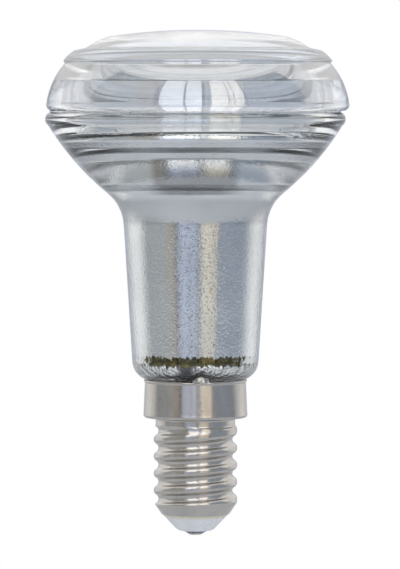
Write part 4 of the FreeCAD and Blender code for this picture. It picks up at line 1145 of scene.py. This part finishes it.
class BULB_OT_studio(Operator):
    """Makes the floor, the room, the windows, the background and the camera"""

    bl_idname = "bulb.studio"
    bl_label = "Studio"

    def execute(self, context):
        store_finishes()
        sizes = context.scene.bulb_studio
        self.make_room(sizes)
        self.make_windows(sizes)
        self.make_floor(sizes)
        self.make_world(context.scene, sizes)
        self.make_lamps(context.scene)
        self.make_camera(context.scene, sizes)
        context.scene.view_settings.view_transform = "Standard"
        context.scene.cycles.max_bounces = 32
        context.scene.cycles.transmission_bounces = 32
        return {"FINISHED"}

    def make_room(self, sizes):
        """Grey walls in front of the bulb and a lower one behind it."""
        foot, head = WALL_REACH
        far = sizes.distance * 1.25
        room = curved_wall("room_wall", math.radians(-92), math.radians(92), foot, head, far, 96)
        room.data.materials.append(room_glow("room_light", sizes.left_wall, sizes.right_wall))
        back = curved_wall("back_wall", math.radians(90), math.radians(270), foot, sizes.back_head, far, 64)
        back.data.materials.append(back_glow("back_light", sizes.back_wall, sizes.back_head))

    def make_windows(self, sizes):
        """Two tall windows, their bars and a curtain to their left."""
        for side, start, end, light, foot_level in (
            ("cool", sizes.cool_start, sizes.cool_end, sizes.cool_light, COOL_FOOT),
            ("warm", sizes.warm_start, sizes.warm_end, sizes.warm_light, WARM_FOOT),
        ):
            pane = curved_wall(f"{side}_window", start, end, sizes.foot, sizes.head, sizes.distance)
            pane.data.materials.append(window_glow(f"{side}_window_light", light, foot_level))
        bar_light = clouded_glow("window_bars", 6.0, tuple(sizes.frame_shade), (0.06, 0.06, 0.07))
        near = sizes.distance * 0.985
        for name, (middle, width) in BARS.items():
            start, end = math.radians(middle - width / 2), math.radians(middle + width / 2)
            bar = curved_wall(name, start, end, sizes.foot, sizes.head, near, 4)
            bar.data.materials.append(bar_light)
        start, end = (math.radians(azimuth) for azimuth in CURTAIN)
        curtain = curved_wall("curtain", start, end, sizes.foot, sizes.head, near, 8)
        cloth = clouded_glow("curtain_light", 4.0, (0.46, 0.42, 0.37), (0.40, 0.38, 0.35))
        curtain.data.materials.append(cloth)
        rail = curved_wall("cross_rail", sizes.cool_start, sizes.warm_end, *RAIL, near)
        rail.data.materials.append(bar_light)

    def make_floor(self, sizes):
        """A round pale floor: rings of points out from the middle."""
        reach = np.linspace(0, sizes.floor_reach, 12)
        section = np.stack([reach, np.full_like(reach, -sizes.floor_drop)], axis=1)
        floor = surface("floor", turned_grid(section, 96))
        dress(floor, mottled("pale_floor", tuple(sizes.floor_shade), 20.0, 0.01, 0.01, Roughness=0.8))

    def make_world(self, scene, sizes):
        """White behind everything, and an even fill for matt surfaces."""
        world = bpy.data.worlds.new("studio")
        scene.world = world
        world.use_nodes = True
        tree = world.node_tree
        tree.nodes.clear()
        path = add(tree, "ShaderNodeLightPath").outputs
        seen = largest(tree, path["Is Camera Ray"], path["Is Glossy Ray"], path["Is Transmission Ray"])
        plain = add(tree, "ShaderNodeBackground", {"Color": opaque(WHITE), "Strength": 1.0}).outputs[0]
        fill = {"Color": (0.97, 0.99, 1.0, 1), "Strength": sizes.fill}
        fill = add(tree, "ShaderNodeBackground", fill).outputs[0]
        mixed = add(tree, "ShaderNodeMixShader", {0: seen, 1: fill, 2: plain}).outputs[0]
        add(tree, "ShaderNodeOutputWorld", {"Surface": mixed})

    def make_lamps(self, scene):
        """Two broad soft lamps, high on either side."""
        for name, (place, power) in LAMPS.items():
            lamp = bpy.data.lights.new(name, "AREA")
            lamp.shape = "DISK"
            lamp.size = LAMP_WIDTH
            lamp.energy = power
            made = bpy.data.objects.new(name, lamp)
            made.location = place
            made.rotation_mode = "QUATERNION"
            made.rotation_quaternion = (-made.location).to_track_quat("-Z", "Y")
            made.visible_glossy = False
            made.visible_transmission = False
            scene.collection.objects.link(made)

    def make_camera(self, scene, sizes):
        """A long lens a little above the bulb's middle."""
        camera = bpy.data.cameras.new("camera")
        made = bpy.data.objects.new("camera", camera)
        scene.collection.objects.link(made)
        made.location = (sizes.aim_across, -sizes.camera_away, sizes.camera_height)
        drop = sizes.camera_height - sizes.aim_height
        made.rotation_euler = (math.pi / 2 - math.atan2(drop, sizes.camera_away), 0, 0)
        away = math.hypot(sizes.camera_away, drop)
        # With this fit the sensor's width lies along the picture's longer side, which is its height
        camera.sensor_fit = "AUTO"
        camera.sensor_width = 36
        camera.lens = camera.sensor_width * away / sizes.frame_height
        camera.clip_start, camera.clip_end = 0.01, 20
        scene.camera = made


class BULB_PT_pieces(Panel):
    """Lists the bulb's operators and sizes in the sidebar."""

    bl_idname = "BULB_PT_pieces"
    bl_label = "Reflector bulb"
    bl_space_type = "VIEW_3D"
    bl_region_type = "UI"
    bl_category = "Bulb"

    def draw(self, context):
        for operator in OPERATORS:
            self.layout.operator(operator.bl_idname)
        for name, group in GROUPS.items():
            box = self.layout.box()
            box.label(text=group.__doc__)
            sizes = getattr(context.scene, name)
            for field in group.__annotations__:
                box.prop(sizes, field)


GROUPS = {
    "bulb_lens": LensSizes,
    "bulb_glass": GlassSizes,
    "bulb_cap": CapSizes,
    "bulb_studio": StudioSizes,
    "bulb_colours": FinishColours,
}
OPERATORS = (
    BULB_OT_studio, BULB_OT_lens, BULB_OT_reflector, BULB_OT_cap,
    BULB_OT_base_finishes, BULB_OT_inner_finishes,
)


def register():
    for item in (*GROUPS.values(), *OPERATORS, BULB_PT_pieces):
        bpy.utils.register_class(item)
    for name, group in GROUPS.items():
        setattr(bpy.types.Scene, name, PointerProperty(type=group))


def unregister():
    for name in GROUPS:
        delattr(bpy.types.Scene, name)
    for item in reversed((*GROUPS.values(), *OPERATORS, BULB_PT_pieces)):
        bpy.utils.unregister_class(item)


def main():
    """Registers the classes and makes every piece in order."""
    register()
    bpy.ops.bulb.studio()
    bpy.ops.bulb.lens()
    bpy.ops.bulb.reflector()
    bpy.ops.bulb.cap()
    bpy.ops.bulb.base_finishes()
    bpy.ops.bulb.inner_finishes()


if __name__ == "__main__":
    main()
